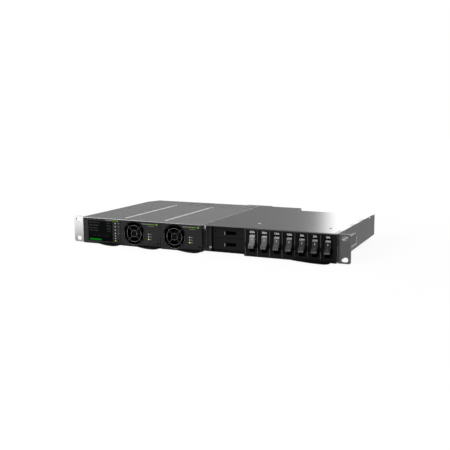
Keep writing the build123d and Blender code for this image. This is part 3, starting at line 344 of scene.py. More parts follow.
# %% [markdown]
# Between the last module and the battery breakers is a narrow recess. Its left screw and most of
# the end wall's flange see only dark walls, while the right screw, the wall's top edge and its small
# tab catch the light. The six screws are one piece with one finish, and so is the wall. So a mask
# on each finish says which part is the bright one.

# %% Screws and end wall
right_screw = (9.0 * mm, 11.0 * mm)
cover_screws = (0.0 * mm, 10.0 * mm)
material, shader = new_finish("screw_steel", metallic=1.0, roughness=0.42)
place = own_place(material)
bright_screw = combine(
    material,
    "MAXIMUM",
    rising(material, place["X"], *right_screw),
    rising(material, place["Z"], *cover_screws),
)
two_tone(material, shader, bright_screw, dark=0.10, bright=0.85)

wall_top = (20.8 * mm, 21.0 * mm)
tab_height = (13.5 * mm, 16.0 * mm)
tab_depth = (5.0 * mm, 4.0 * mm)
flange_shade = (15.0 * mm, 5.0 * mm)
flange_brightness = 0.24
material, shader = new_finish("end_wall_steel", metallic=1.0, roughness=0.32)
place = own_place(material)
front_tab = combine(
    material,
    "MULTIPLY",
    rising(material, place["Z"], *tab_height),
    rising(material, place["Y"], *tab_depth),
)
bright_part = combine(material, "MAXIMUM", rising(material, place["Z"], *wall_top), front_tab)
flange = add(material, "ShaderNodeMath", operation="MULTIPLY")
flange.inputs[1].default_value = flange_brightness
join(material, rising(material, place["X"], *flange_shade), flange.inputs[0])
wall_mask = combine(material, "MAXIMUM", bright_part, flange.outputs["Value"])
two_tone(material, shader, wall_mask, dark=0.005, bright=0.80, edge=0.0)
print("screw and end wall finishes ready")

# %% [markdown]
# The tray lies in deep shade under the battery breakers, and the module cases are shaded just
# behind their black faces. The dividers' crowns catch the overhead light and look nearly white. That
# highlight is painted on as a pale colour with little metal in it, and not made as a mirror.

# %% Tray, module cases and dividers
tray_shade_end = (12.8 * mm, 13.6 * mm)
tray_bright_left = (5.0 * mm, 4.0 * mm)
material, shader = new_finish("shell_steel", metallic=1.0, roughness=0.36)
place = own_place(material)
tray_mask = combine(
    material,
    "MAXIMUM",
    rising(material, place["Y"], *tray_shade_end),
    rising(material, place["X"], *tray_bright_left),
)
two_tone(material, shader, tray_mask, dark=0.012, bright=0.42)

case_shade_end = (0.5 * mm, 1.5 * mm)
material, shader = new_finish("case_steel", metallic=1.0, roughness=0.36)
case_mask = rising(material, own_place(material)["Y"], *case_shade_end)
two_tone(material, shader, case_mask, dark=0.008, bright=0.50)

# A near-white painted highlight for the dividers' crowns, also used on the ear wing's edge.
material, shader = new_finish("divider_steel", metallic=0.10, roughness=0.45)
tint(material, shader, grain_field(material, steel_cloud), grey(0.95), grey(1.0))
fine_grain(material, shader)
print("tray, case and divider finishes ready")

# %% [markdown]
# The left ear takes the front light, most of all at its top. The outer rings of the fan guards are
# the other way round: their tops are shaded by the round opening that they lie in. Both change with
# height, so a colour ramp over the height is enough.

# %% Left ear and the guards' outer rings
ear_shades = ((0.0, grey(0.19)), (1.0, grey(0.50)))
material, shader = new_finish("lit_ear_steel", metallic=1.0, roughness=0.30)
height_shades(material, shader, cad_low.z, cad_high.z, ear_shades)
fine_grain(material, shader)

ring_shades = ((0.0, grey(0.12)), (0.45, grey(0.10)), (0.65, grey(0.02)), (1.0, grey(0.01)))
material, shader = new_finish("rim_wire", metallic=1.0, roughness=0.30)
height_shades(material, shader, cad_low.z, cad_high.z, ring_shades)
fine_grain(material, shader)
print("left ear and ring finishes ready")

# %% [markdown]
# ## Black plastics
# The module faces are moulded in black with a spark-eroded texture that scatters light. The release
# levers are the same black, but polished. A plastic is not a metal: its colour is its own and only
# a weak clear reflection lies over it, which the roughness spreads or sharpens. A clear coat over a
# matt base would also look right, but two values, roughness and specular, are easier to match to a
# photograph, so each plastic is one row here: tone, roughness, specular.

# %% Plastic finishes
plastics = {
    "module_black": (0.013, 0.42, 0.19),
    "black_moulding": (0.012, 0.45, 0.4),
    "gloss_black": (0.003, 0.24, 0.19),
    "panel_black": (0.002, 0.30, 0.30),
    "battery_black": (0.0065, 0.38, 0.14),
    "toggle_black": (0.003, 0.35, 0.10),
    "fan_black": (0.002, 0.45, 0.06),
    "terminal_black": (0.012, 0.40, 0.4),
    "rating_label": (0.004, 0.42, 0.12),
}
plastic_grain = (2200, 2200, 2200)
plastic_cloud = (45, 45, 45)
plastic_mottle = 0.15
plastic_edge = 0.3 * mm
moulded_texture = 0.006 * mm
finer_textures = {"gloss_black": 0.0004 * mm, "toggle_black": 0.002 * mm}

for name, (tone, roughness, specular) in plastics.items():
    material, shader = new_finish(name, metallic=0.0, roughness=roughness, specular=specular)
    cloud = grain_field(material, plastic_cloud, detail=2.0)
    tint(
        material,
        shader,
        cloud,
        grey(tone * (1 - plastic_mottle)),
        grey(tone * (1 + plastic_mottle)),
    )
    grain = grain_field(material, plastic_grain, detail=2.0)
    relief(material, shader, grain, finer_textures.get(name, moulded_texture), plastic_edge)
print("plastic finishes:", sorted(plastics))

# %% [markdown]
# The load breakers have deep pockets for their rockers. Below the pockets their fronts are open to
# the light and a shade lighter, which the same kind of mask gives them.

# %% Load breakers
pocket_bottom = -12.8 * mm
pocket_fade = 0.3 * mm
material, shader = new_finish("breaker_black", metallic=0.0, roughness=0.38, specular=0.12)
height_on_breaker = own_place(material)["Z"]
below_pocket = rising(
    material,
    height_on_breaker,
    pocket_bottom + pocket_fade,
    pocket_bottom - pocket_fade,
)
two_tone(material, shader, below_pocket, dark=0.0012, bright=0.006)
print("load breakers lighter below", round(pocket_bottom / mm, 1), "mm")

# %% [markdown]
# ## Glass, terminals, boards and copper
# The display is a smooth dark pane. The green terminal strip, the printed boards and the copper bars
# sit at the back or inside. Pictures of real ones would need unwrapping, so the marks of their making
# come from noise too: mottled resin, traces on the boards, and the streaks of rolled copper.

# %% Remaining finishes
material, shader = new_finish("display_glass", metallic=0.0, roughness=0.08, specular=0.01)
cloud = grain_field(material, (60, 60, 60), detail=1.0)
tint(material, shader, cloud, (0.0012, 0.0014, 0.0015), (0.0022, 0.0024, 0.0025))
rough_field(material, shader, cloud, low=0.06, high=0.11)

material, shader = new_finish("terminal_green", metallic=0.0, roughness=0.38)
cloud = grain_field(material, (80, 80, 80))
tint(material, shader, cloud, (0.005, 0.055, 0.014), (0.008, 0.080, 0.020))
relief(material, shader, grain_field(material, plastic_grain), 0.004 * mm, plastic_edge)

material, shader = new_finish("circuit_board", metallic=0.0, roughness=0.35)
traces = grain_field(material, (900, 110, 900), detail=0.0)
tint(material, shader, traces, (0.006, 0.055, 0.022), (0.015, 0.105, 0.045))
relief(material, shader, traces, height=0.02 * mm, edge_radius=0.1 * mm)

material, shader = new_finish("copper_bar", metallic=1.0, roughness=0.3)
streaks = grain_field(material, (40, 700, 700))
tint(material, shader, streaks, (0.72, 0.33, 0.18), (0.90, 0.47, 0.29))
rough_field(material, shader, streaks, low=0.24, high=0.38)
relief(material, shader, streaks, height=0.002 * mm, edge_radius=0.3 * mm)
print("finishes so far:", len(finishes))

# %% [markdown]
# ## Rockers
# All seven rockers are the same grey moulding, but in the photograph the light falls off towards the
# right, so each one is a shade darker than its neighbour. A random value per object would make them
# differ, but not in this order. One material a rocker, made in a loop, carries its shade, and within
# it the height tells the bright upper facet from the lower one and from the shaded nose.

# %% Rocker finishes
rocker_count = 7
rocker_left_tone = 0.20
rocker_right_tone = 0.014
rocker_low = -10 * mm
rocker_high = 14 * mm
rocker_shades = ((0.0, 0.08), (0.235, 0.10), (0.25, 0.82), (0.44, 0.90), (0.52, 1.03), (1.0, 1.12))

for number in range(1, rocker_count + 1):
    share = (number - 1) / (rocker_count - 1)
    tone = rocker_left_tone * (rocker_right_tone / rocker_left_tone) ** share
    stops = [(height, grey(tone * shade)) for height, shade in rocker_shades]
    material, shader = new_finish(f"rocker_grey_{number}", metallic=0.0, roughness=0.34, specular=0.35)
    height_shades(material, shader, rocker_low, rocker_high, stops)
    relief(material, shader, grain_field(material, plastic_grain), 0.003 * mm, plastic_edge)
print("rocker tones from", rocker_left_tone, "to", rocker_right_tone)

# %% [markdown]
# Every piece that came with the frame knows the name of its finish from the part's record. A few
# pieces that share a finish there get one of their own here, because the light on them differs.

# %% Put the finishes on the carried-over pieces
own_finishes = {
    "battery_breaker_1": "battery_black",
    "battery_breaker_2": "battery_black",
    "bay_divider_3": "end_wall_steel",
    "left_ear": "lit_ear_steel",
    "module_cover": "module_cover_steel",
}
for name, piece in nodes.items():
    finish = part_slots[name]
    if finish == "rocker_grey":
        finish = f"rocker_grey_{name.split('_')[-1]}"
    finish = own_finishes.get(name, finish)
    piece.data.materials.clear()
    piece.data.materials.append(finishes[finish])
print("finished", len(nodes), "nodes")

# %% [markdown]
# ## Inks, lamps and bright metal
# Print is a thin matt layer. A lit lamp is a coloured plastic lens with light behind it. A pure light
# would look like a flat hole, so the lens keeps its colour and its soft reflection, and its shader
# gives out light besides. An unlit lens only shows its pale plastic.

# %% Inks
inks = {
    "white_ink": (0.74, 0.74, 0.74),
    # OFF and O are the rockers' white print, painted darker as the shade on their lower half.
    "off_ink": (0.26, 0.26, 0.26),
    "grey_ink": (0.27, 0.27, 0.27),
    "green_ink": (0.19, 0.36, 0.025),
    "insert_grey": (0.30, 0.30, 0.29),
    "screen_grey": (0.065, 0.068, 0.070),
    "screen_text": (0.055, 0.057, 0.059),
    "screen_dim": (0.022, 0.023, 0.024),
    # Painted shade for the screws' cross recesses and slots.
    "dark_recess": (0.004, 0.004, 0.004),
}
ink_grain = (1500, 1500, 1500)
ink_thin = 0.88
ink_full = 1.1
for name, colour in inks.items():
    material, shader = new_finish(name, metallic=0.0, roughness=0.55, specular=0.03)
    thin = tuple(ink_thin * c for c in colour)
    full = tuple(ink_full * c for c in colour)
    tint(material, shader, grain_field(material, ink_grain), thin, full)
print("inks:", sorted(inks))

# %% Lamps and brass
lamps = {
    "lamp_off": ((0.62, 0.63, 0.62), 0.0),
    "lamp_green": ((0.26, 0.62, 0.02), 0.45),
    "lamp_lime": ((0.48, 0.80, 0.10), 0.75),
    "screen_green": ((0.001, 0.10, 0.003), 0.8),
}
lamp_grain = (800, 800, 800)
lamp_shade = 0.8
for name, (colour, strength) in lamps.items():
    material, shader = new_finish(name, metallic=0.0, roughness=0.35, specular=0.03)
    field = grain_field(material, lamp_grain, detail=1.0)
    tint(material, shader, field, tuple(lamp_shade * c for c in colour), colour)
    shader.inputs["Emission Color"].default_value = (*colour, 1)
    shader.inputs["Emission Strength"].default_value = strength

material, shader = new_finish("pin_brass", metallic=1.0, roughness=0.28)
streaks = grain_field(material, (600, 600, 900))
tint(material, shader, streaks, (0.62, 0.47, 0.20), (0.80, 0.64, 0.32))
relief(material, shader, streaks, height=0.002 * mm, edge_radius=0.15 * mm)
print("finishes in all:", len(finishes))

# %% [markdown]
# ## Tools for small pieces
# Small plates, domes and letters could each be an object of its own, placed by hand. They are built
# into one bmesh instead, each at a matrix that says where it sits and which way it faces. One object
# then holds all the marks of a kind, which keeps the scene light and lets them ride on the right body
# together.

# %% Matrices that face a side
def facing_front(x, y, z):
    """A matrix whose own Z looks to the front of the unit."""
    return Matrix.Translation((x, y, z)) @ Matrix.Rotation(radians(90), 4, "X")


def facing_back(x, y, z):
    """A matrix whose own Z looks to the rear, read from behind."""
    return facing_front(x, y, z) @ Matrix.Rotation(pi, 4, "Y")


def facing_up(x, y, z):
    """A matrix whose own Z looks up."""
    return Matrix.Translation((x, y, z))


print("sides ready")

# %% Plates and domes
corner_share = 0.3


def add_outline(shape, outline, thickness, matrix):
    """A thin plate from an outline in its own XY, rising from its own Z of 0."""
    rings = []
    for z in (0.0, thickness):
        rings.append([shape.verts.new(matrix @ Vector((x, y, z))) for x, y in outline])
    shape.faces.new(list(reversed(rings[0])))
    shape.faces.new(rings[1])
    count = len(outline)
    for start in range(count):
        end = (start + 1) % count
        shape.faces.new((rings[0][start], rings[0][end], rings[1][end], rings[1][start]))


def add_plate(shape, width, height, thickness, matrix, corner=None):
    """A thin plate with round corners, centred on the matrix."""
    corner = min(width, height) * corner_share if corner is None else corner
    steps = 4
    outline = []
    for quarter, (side_x, side_y) in enumerate(((1, 1), (-1, 1), (-1, -1), (1, -1))):
        centre_x = side_x * (width / 2 - corner)
        centre_y = side_y * (height / 2 - corner)
        for step in range(steps + 1):
            angle = (quarter + step / steps) * pi / 2
            outline.append((centre_x + corner * cos(angle), centre_y + corner * sin(angle)))
    add_outline(shape, outline, thickness, matrix)


def add_dome(shape, radius, rise, matrix, rings=4, segments=24):
    """A shallow dome on a flat round back."""
    circles = []
    for ring in range(rings):
        angle = ring / rings * pi / 2
        reach = radius * cos(angle)
        circle = []
        for segment in range(segments):
            turn = segment / segments * 2 * pi
            point = Vector((reach * cos(turn), reach * sin(turn), rise * sin(angle)))
            circle.append(shape.verts.new(matrix @ point))
        circles.append(circle)
    tip = shape.verts.new(matrix @ Vector((0, 0, rise)))
    shape.faces.new(list(reversed(circles[0])))
    for segment in range(segments):
        after = (segment + 1) % segments
        for low, high in zip(circles, circles[1:]):
            shape.faces.new((low[segment], low[after], high[after], high[segment]))
        shape.faces.new((circles[-1][segment], circles[-1][after], tip))


print("plates and domes ready")

# %% Letters
capital_share = 0.7
ink_thickness = 0.03 * mm


def add_words(shape, words, height, matrix, weight=0.0, width=1.0):
    """Plain letters, centred on the matrix. Weight thickens the strokes and width spreads them."""
    text = bpy.data.curves.new("words", "FONT")
    text.body = words
    text.align_x = "CENTER"
    text.align_y = "CENTER"
    text.resolution_u = 3
    text.size = 1.0
    text.offset = weight
    holder = bpy.data.objects.new("words", text)
    bpy.context.scene.collection.objects.link(holder)
    bpy.context.view_layer.update()
    view = bpy.context.evaluated_depsgraph_get()
    letters = bpy.data.meshes.new_from_object(holder.evaluated_get(view))
    size = height / capital_share
    flat = bmesh.new()
    flat.from_mesh(letters)
    heights = [vertex.co.y for vertex in flat.verts]
    middle = (min(heights) + max(heights)) / 2
    for vertex in flat.verts:
        x = vertex.co.x * size * width
        vertex.co = Vector((x, (vertex.co.y - middle) * size, ink_thickness))
    flat.transform(matrix)
    flat.to_mesh(letters)
    flat.free()
    shape.from_mesh(letters)
    bpy.data.objects.remove(holder)
    bpy.data.curves.remove(text)
    bpy.data.meshes.remove(letters)


print("letters ready")

# %% Pieces that ride on a body
def make_piece(name, shape, body, finish):
    """Turns a finished bmesh into a piece that rides on a body."""
    mesh = bpy.data.meshes.new(name)
    shape.to_mesh(mesh)
    shape.free()
    mesh.materials.append(finishes[finish])
    piece = bpy.data.objects.new(name, mesh)
    bpy.context.scene.collection.objects.link(piece)
    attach(piece, body)
    print(name, "has", len(mesh.polygons), "faces")


print("piece helper ready")

# %% [markdown]
# ## Where the modules are
# The three modules share one layout, so their marks are placed from each face's own left edge. The
# edge is read from the frame and not typed in, which keeps the marks right if the part changes.

# %% Module places
module_bodies = ("controller", "rectifier_1", "rectifier_2")
face_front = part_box("controller_face")[0].y
module_lefts = [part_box(f"{body}_face")[0].x for body in module_bodies]
print("module faces start at", [round(x / mm, 1) for x in module_lefts], "mm")

# %% [markdown]
# ## The display
# The screen shows four lines of measurements, a rule, a dim line and a green charge bar. It could be
# a picture on the pane, but that would need an image file. At this distance the words can't be read,
# so each letter is a short plain mark, and the values at the right are plain numbers.

# %% Words and values on the screen
screen_low, screen_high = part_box("display_window")
screen_front = screen_low.y
row_heights = (13.9 * mm, 9.2 * mm, 4.6 * mm, 0.4 * mm)
row_words = ((6, 7, 3), (7, 8), (4, 7, 2), (7, 7))
row_values = ("54.2 V", "18.5 A", "53.8 V", "21 C")
row_start = screen_low.x + 2.6 * mm
letter_width = 0.75 * mm
letter_pitch = 1.15 * mm
word_gap = 0.9 * mm
small_letter = 1.3 * mm
letter_heights = (1.9 * mm, small_letter, small_letter, 1.6 * mm, small_letter)
mark_corner = 0.2 * mm

shape = bmesh.new()
for height, words in zip(row_heights, row_words):
    x = row_start
    for word, letters in enumerate(words):
        for letter in range(letters):
            tall = letter_heights[(letter + word) % len(letter_heights)]
            middle = height + (tall - small_letter) / 2
            matrix = facing_front(x + letter_width / 2, screen_front, middle)
            add_plate(shape, letter_width, tall, ink_thickness, matrix, corner=mark_corner)
            x += letter_pitch
        x += word_gap
make_piece("screen_strokes", shape, "controller", "screen_text")

value_middle = screen_high.x - 7.4 * mm
value_tall = 2.3 * mm
value_weight = 0.01
shape = bmesh.new()
for height, words in zip(row_heights, row_values):
    matrix = facing_front(value_middle, screen_front, height)
    add_words(shape, words, value_tall, matrix, weight=value_weight)
make_piece("screen_values", shape, "controller", "screen_grey")

# %% Screen rule, dim line and charge bar
screen_middle = (screen_low.x + screen_high.x) / 2
screen_width = screen_high.x - screen_low.x
rule_margins = 5 * mm
rule_tall = 0.25 * mm
rule_height = -4.5 * mm
rule_matrix = facing_front(screen_middle, screen_front, rule_height)
dim_height = -8.0 * mm
dim_length = 6 * mm
dim_tall = 0.9 * mm
dim_places = (-12 * mm, -3 * mm, 7 * mm, 14 * mm)
shape = bmesh.new()
add_plate(shape, screen_width - rule_margins, rule_tall, ink_thickness, rule_matrix)
for place in dim_places:
    matrix = facing_front(screen_middle + place, screen_front, dim_height)
    add_plate(shape, dim_length, dim_tall, ink_thickness, matrix)
make_piece("screen_rules", shape, "controller", "screen_dim")

charge_length = 23.4 * mm
charge_tall = 2.6 * mm
charge_height = -14.6 * mm
charge_matrix = facing_front(row_start + charge_length / 2, screen_front, charge_height)
shape = bmesh.new()
add_plate(shape, charge_length, charge_tall, ink_thickness, charge_matrix, corner=mark_corner)
make_piece("screen_charge_bar", shape, "controller", "screen_green")

# %% [markdown]
# ## Indicator lamps
# Each lamp is the end of a light pipe. A flat disc would do from straight ahead, but a small dome
# that stands a hair proud of the face also catches the light from the side. All but the lowest lamp
# of each group are unlit.

# %% Lamps on the controller and the rectifiers
lamp_radius = 1.0 * mm
lamp_rise = 0.25 * mm
lamp_front = face_front - 0.1 * mm
controller_lamp_x = module_lefts[0] + 64.4 * mm
controller_lamp_heights = (14.4, 8.85, 3.3, -2.25, -6.4, -10.55, -14.7)
rectifier_lamp_offset = 53.1 * mm
rectifier_lamp_heights = (0.7, -3.5, -7.7)


def lamp_group(name, body, x, heights, finish):
    """One piece with a dome at each height, given in mm."""
    shape = bmesh.new()
    for height in heights:
        add_dome(shape, lamp_radius, lamp_rise, facing_front(x, lamp_front, height * mm))
    make_piece(name, shape, body, finish)


lamp_rows = [("controller", controller_lamp_x, controller_lamp_heights, "lamp_green")]
for body, left in zip(module_bodies[1:], module_lefts[1:]):
    lamp_rows.append((body, left + rectifier_lamp_offset, rectifier_lamp_heights, "lamp_lime"))
for body, x, heights, lit_finish in lamp_rows:
    lamp_group(f"{body}_lamps", body, x, heights[:-1], "lamp_off")
    lamp_group(f"{body}_lit_lamp", body, x, heights[-1:], lit_finish)

# %% [markdown]
# ## Print on the faces
# Beside the lamps are small printed marks, and at the top right of each face runs a row of plain
# bars in grey and green. Thin plates, no thicker than ink, keep them sharp at any distance, where an
# image would blur.

# %% Marks beside the lamps
controller_mark_x = module_lefts[0] + 70.6 * mm
controller_marks = ((14.4, 2.6, 0.9), (8.85, 1.6, 1.2), (3.3, 0.5, 1.6), (-2.25, 1.8, 1.5))
shape = bmesh.new()
for height, width, tall in controller_marks:
    matrix = facing_front(controller_mark_x, face_front, height * mm)
    add_plate(shape, width * mm, tall * mm, ink_thickness, matrix)
make_piece("controller_marks", shape, "controller", "grey_ink")

lamp_to_mark = 2.0 * mm
mark_widths = (1.5 * mm, 1.2 * mm)
mark_gap = 0.4 * mm
mark_tall = 1.2 * mm
for body, left in zip(module_bodies[1:], module_lefts[1:]):
    shape = bmesh.new()
    for height in rectifier_lamp_heights:
        start = left + rectifier_lamp_offset + lamp_to_mark
        for width in mark_widths:
            matrix = facing_front(start + width / 2, face_front, height * mm)
            add_plate(shape, width, mark_tall, ink_thickness, matrix)
            start += width + mark_gap
    make_piece(f"{body}_marks", shape, body, "grey_ink")

# %% Bars at the top right of each face
bar_tall = 1.2 * mm
square_tall = 2.4 * mm
square_start = 66.0
second_row_middle = 57.5 * mm
second_row_drop = 2.9 * mm
second_row_length = 10.5 * mm
second_row_tall = 0.5 * mm


def print_bars(body, left, height, bars, second_row):
    """Grey and green bars on a module's face; bars are (start, end, finish) in mm from its left."""
    for finish in ("grey_ink", "green_ink"):
        shape = bmesh.new()
        for start, end, ink in bars:
            if ink == finish:
                tall = square_tall if start >= square_start else bar_tall
                matrix = facing_front(left + (start + end) / 2 * mm, face_front, height)
                add_plate(shape, (end - start) * mm, tall, ink_thickness, matrix, mark_corner)
        if finish == "grey_ink" and second_row:
            matrix = facing_front(left + second_row_middle, face_front, height - second_row_drop)
            add_plate(shape, second_row_length, second_row_tall, ink_thickness, matrix)
        colour = finish.split("_")[0]
        make_piece(f"{body}_{colour}_bars", shape, body, finish)


controller_bar_height = 18.75 * mm
controller_bars = (
    (45.4, 48.2, "grey_ink"),
    (48.8, 53.0, "grey_ink"),
    (53.6, 57.2, "grey_ink"),
    (57.8, 61.6, "green_ink"),
    (62.2, 65.8, "green_ink"),
    (67.6, 69.6, "green_ink"),
)
rectifier_bar_height = 16.9 * mm
rectifier_bars = (
    (40.4, 43.2, "grey_ink"),
    (43.8, 47.4, "grey_ink"),
    (48.0, 51.2, "grey_ink"),
    (51.8, 56.0, "green_ink"),
    (56.6, 61.2, "green_ink"),
    (62.2, 64.2, "grey_ink"),
    (66.4, 69.6, "green_ink"),
)
print_bars("controller", module_lefts[0], controller_bar_height, controller_bars, False)
for body, left in zip(module_bodies[1:], module_lefts[1:]):
    print_bars(body, left, rectifier_bar_height, rectifier_bars, True)

# %% [markdown]
# ## Letters on the load breakers
# ON, OFF, I and O are printed on the rockers and turn with them, so they are built in the rocker's
# own frame: a matrix at its pivot, tilted as far as the rocker is at rest. Text objects give the
# letters, and only their flat meshes are kept. Each label carries its breaker's current.

# %% Places on a rocker
rocker_tilt = radians(-20)
rocker_slope = radians(20)
rocker_pivot_y = -1.802 * mm
pivot_to_valley = 5.0 * mm
facet_length = 7.6 * mm
nose_length = 4.4 * mm
print_gap = 0.02 * mm


def surface_matrix(place, up):
    """A matrix with its X to the right, its Y up the surface and its Z out of it."""
    right = Vector((1, 0, 0))
    out = right.cross(up)
    matrix = Matrix((right, up, out)).transposed().to_4x4()
    return Matrix.Translation(place + out * print_gap) @ matrix


def on_facet(share, side):
    """Matrix on a facet, share of its length away from the middle; side is 1 above and -1 below."""
    run = facet_length * share
    place = Vector((0, -pivot_to_valley - run * sin(rocker_slope), side * run * cos(rocker_slope)))
    up = Vector((0, -side * sin(rocker_slope), cos(rocker_slope)))
    return surface_matrix(place, up)


def on_nose(share, side):
    """Matrix on the end face beyond a facet, share of that face's length past the crest."""
    crest = Vector((
        0,
        -pivot_to_valley - facet_length * sin(rocker_slope),
        side * facet_length * cos(rocker_slope),
    ))
    run = nose_length * share
    place = crest + Vector((0, run * sin(rocker_slope), side * run * cos(rocker_slope)))
    up = Vector((0, side * sin(rocker_slope), cos(rocker_slope)))
    return surface_matrix(place, up)


print("rocker facets:", round(facet_length / mm, 1), "mm long")

# %% Words on rockers and labels
amperes = ("30A", "30A", "15A", "10A", "5A", "5A", "5A")
word_tall = 2.9 * mm
stroke_tall = 2.8 * mm
circle_tall = 1.9 * mm
ampere_tall = 3.0 * mm
on_matrix = on_nose(0.35, 1)
stroke_matrix = on_facet(0.48, 1)
circle_matrix = on_facet(0.55, -1)
off_matrix = on_nose(0.5, -1)
label_low, label_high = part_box("rating_labels")
label_height = (label_low.z + label_high.z) / 2
label_shape = bmesh.new()
for number, ampere in enumerate(amperes, start=1):
    rocker = f"rocker_{number}"
    low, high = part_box(rocker)
    middle = (low.x + high.x) / 2
    pivot = Matrix.Translation((middle, rocker_pivot_y, 0))
    turned = pivot @ Matrix.Rotation(rocker_tilt, 4, "X")
    shape = bmesh.new()
    add_words(shape, "ON", word_tall, turned @ on_matrix, weight=0.016, width=1.15)
    add_words(shape, "I", stroke_tall, turned @ stroke_matrix, weight=0.04)
    make_piece(f"{rocker}_words", shape, rocker, "white_ink")
    # The lower half's letters take the white print painted darker, as shade.
    shape = bmesh.new()
    add_words(shape, "OFF", word_tall, turned @ off_matrix, weight=0.014, width=1.2)
    add_words(shape, "O", circle_tall, turned @ circle_matrix)
    make_piece(f"{rocker}_signs", shape, rocker, "off_ink")
    label_matrix = facing_front(middle, label_low.y, label_height)
    add_words(label_shape, ampere, ampere_tall, label_matrix, weight=0.016, width=1.2)
make_piece("ampere_numbers", label_shape, "chassis", "white_ink")

# %% [markdown]
# ## Toggle tips and screw recesses
# Each battery toggle ends in a pale insert that shows how it stands. It is made in the toggle's own
# frame, so that it turns with the lever. A screw's cross recess could be cut with a boolean, but at
# this size a thin dark inlay, painted shade standing for the hollow, looks the same and keeps the
# screw's mesh as it is.

# %% Toggle tips
toggle_tilt = radians(-28)
toggle_reach = 15.5 * mm
toggle_pivot_x = 46.0 * mm
toggle_pivot_y = 20.0 * mm
toggle_width = 2.6 * mm
insert_width = 0.65 * toggle_width
insert_tall = 4.9 * mm
insert_rise = 0.06 * mm
insert_corner = 0.4 * mm
for number in (1, 2):
    toggle = f"battery_toggle_{number}"
    low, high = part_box(toggle)
    pivot = Matrix.Translation((toggle_pivot_x, toggle_pivot_y, (low.z + high.z) / 2))
    turned = pivot @ Matrix.Rotation(toggle_tilt, 4, "Z")
    tip = turned @ facing_front(0, -toggle_reach, 0)
    shape = bmesh.new()
    add_plate(shape, insert_width, insert_tall, insert_rise, tip, insert_corner)
    make_piece(f"{toggle}_insert", shape, toggle, "insert_grey")

# %% Cross recesses
cover_screw_places = ((81.0, 44.0), (198.0, 43.0), (-145.3, 184.5), (-70.5, 184.5))
recess_screw_places = ((7.6, -15.0), (12.4, -15.0))
cross_length = 2.4 * mm
cross_width = 0.55 * mm
cross_rise = 0.02 * mm
first_screw_turn = 20
screw_low, screw_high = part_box("fastening_screws")


def cross_outline(length, width):
    """The outline of a cross, walked once round its four arms."""
    far = length / 2
    near = width / 2
    outline = []
    for quarter in range(4):
        turn = Matrix.Rotation(quarter * pi / 2, 2)
        for corner in ((far, -near), (far, near), (near, near)):
            outline.append(tuple(turn @ Vector(corner)))
    return outline


cross = cross_outline(cross_length, cross_width)
# Each cross is a thin dark inlay, painted shade where the recess would be.
shape = bmesh.new()
for x, y in cover_screw_places:
    turn = Matrix.Rotation(radians(first_screw_turn + x), 4, "Z")
    add_outline(shape, cross, cross_rise, facing_up(x * mm, y * mm, screw_high.z) @ turn)
for x, z in recess_screw_places:
    add_outline(shape, cross, cross_rise, facing_front(x * mm, screw_low.y, z * mm))
make_piece("screw_recesses", shape, "chassis", "dark_recess")

# %% [markdown]
# ## The painted highlight on the ear's wing
# The right ear is held by a wing that lies flat on the side plate. Where its sheet was cut, at the
# rear and along the bottom, the edge shines. A bevel would be too narrow to see from the camera, so
# a thin pale L in the dividers' near-white is painted there as the highlight.

# %% Wing edge
wing_sheet = 2.0 * mm
wing_rise = 11.8 * mm
wing_low = cad_low.z + wing_rise
wing_corner = 3.0 * mm
wing_edge_width = 1.8 * mm
wing_edge_start = 12.0 * mm
wing_edge_top = 3.0 * mm


def facing_right(x, y, z):
    """A matrix whose own Z looks to the right, with its X running to the rear."""
    return Matrix(((0, 0, 1, x), (1, 0, 0, y), (0, 1, 0, z), (0, 0, 0, 1)))


def corner_arc(middle_y, middle_z, radius, steps=6):
    """A quarter circle from below its middle round to its rear."""
    angles = [-pi / 2 + step / steps * pi / 2 for step in range(steps + 1)]
    return [(middle_y + radius * cos(angle), middle_z + radius * sin(angle)) for angle in angles]


low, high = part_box("right_ear")
corner_y = high.y - wing_corner
corner_z = wing_low + wing_corner
outer = corner_arc(corner_y, corner_z, wing_corner)
inner = corner_arc(corner_y, corner_z, wing_corner - wing_edge_width)
outline = [
    (wing_edge_start, wing_low),
    *outer,
    (high.y, wing_edge_top),
    (high.y - wing_edge_width, wing_edge_top),
    *reversed(inner),
    (wing_edge_start, wing_low + wing_edge_width),
]
# A thin pale L on the wing's outer face: a painted highlight along its cut edge.
shape = bmesh.new()
add_outline(shape, outline, ink_thickness, facing_right(low.x + wing_sheet, 0, 0))
make_piece("right_ear_painted_highlight", shape, "chassis", "divider_steel")

# %% [markdown]
# ## The guards' rims
# Each fan guard ends in a third, thinner ring that lies just inside the face's round opening, where
# the four spokes meet it. Wire is a circle swept along a path, so a ring is a circle of circles and a
# spoke end is a short rod between two points. Curves with a bevel would do the same, but a mesh
# needs no conversion before it rides on its module.

# %% Wire rings and rods
rim_radius = 18.9 * mm
rim_wire = 0.42 * mm
rim_steps = 96
spoke_wire = 0.5 * mm
spoke_start = 16.0 * mm
spoke_set_back = 1.0 * mm
spoke_count = 4
guard_wire_radius = 0.55 * mm


def add_tube(shape, path, closed, wire, sides=8):
    """Joins circles of points; path lists each circle's middle and its two directions."""
    circles = []
    for middle, first, second in path:
        circle = []
        for side in range(sides):
            angle = side / sides * 2 * pi
            circle.append(shape.verts.new(middle + wire * (cos(angle) * first + sin(angle) * second)))
        circles.append(circle)
    following = circles[1:] + circles[:1] if closed else circles[1:]
    for here, after in zip(circles, following):
        for side in range(sides):
            beside = (side + 1) % sides
            shape.faces.new((here[side], after[side], after[beside], here[beside]))
    if not closed:
        shape.faces.new(list(reversed(circles[0])))
        shape.faces.new(circles[-1])


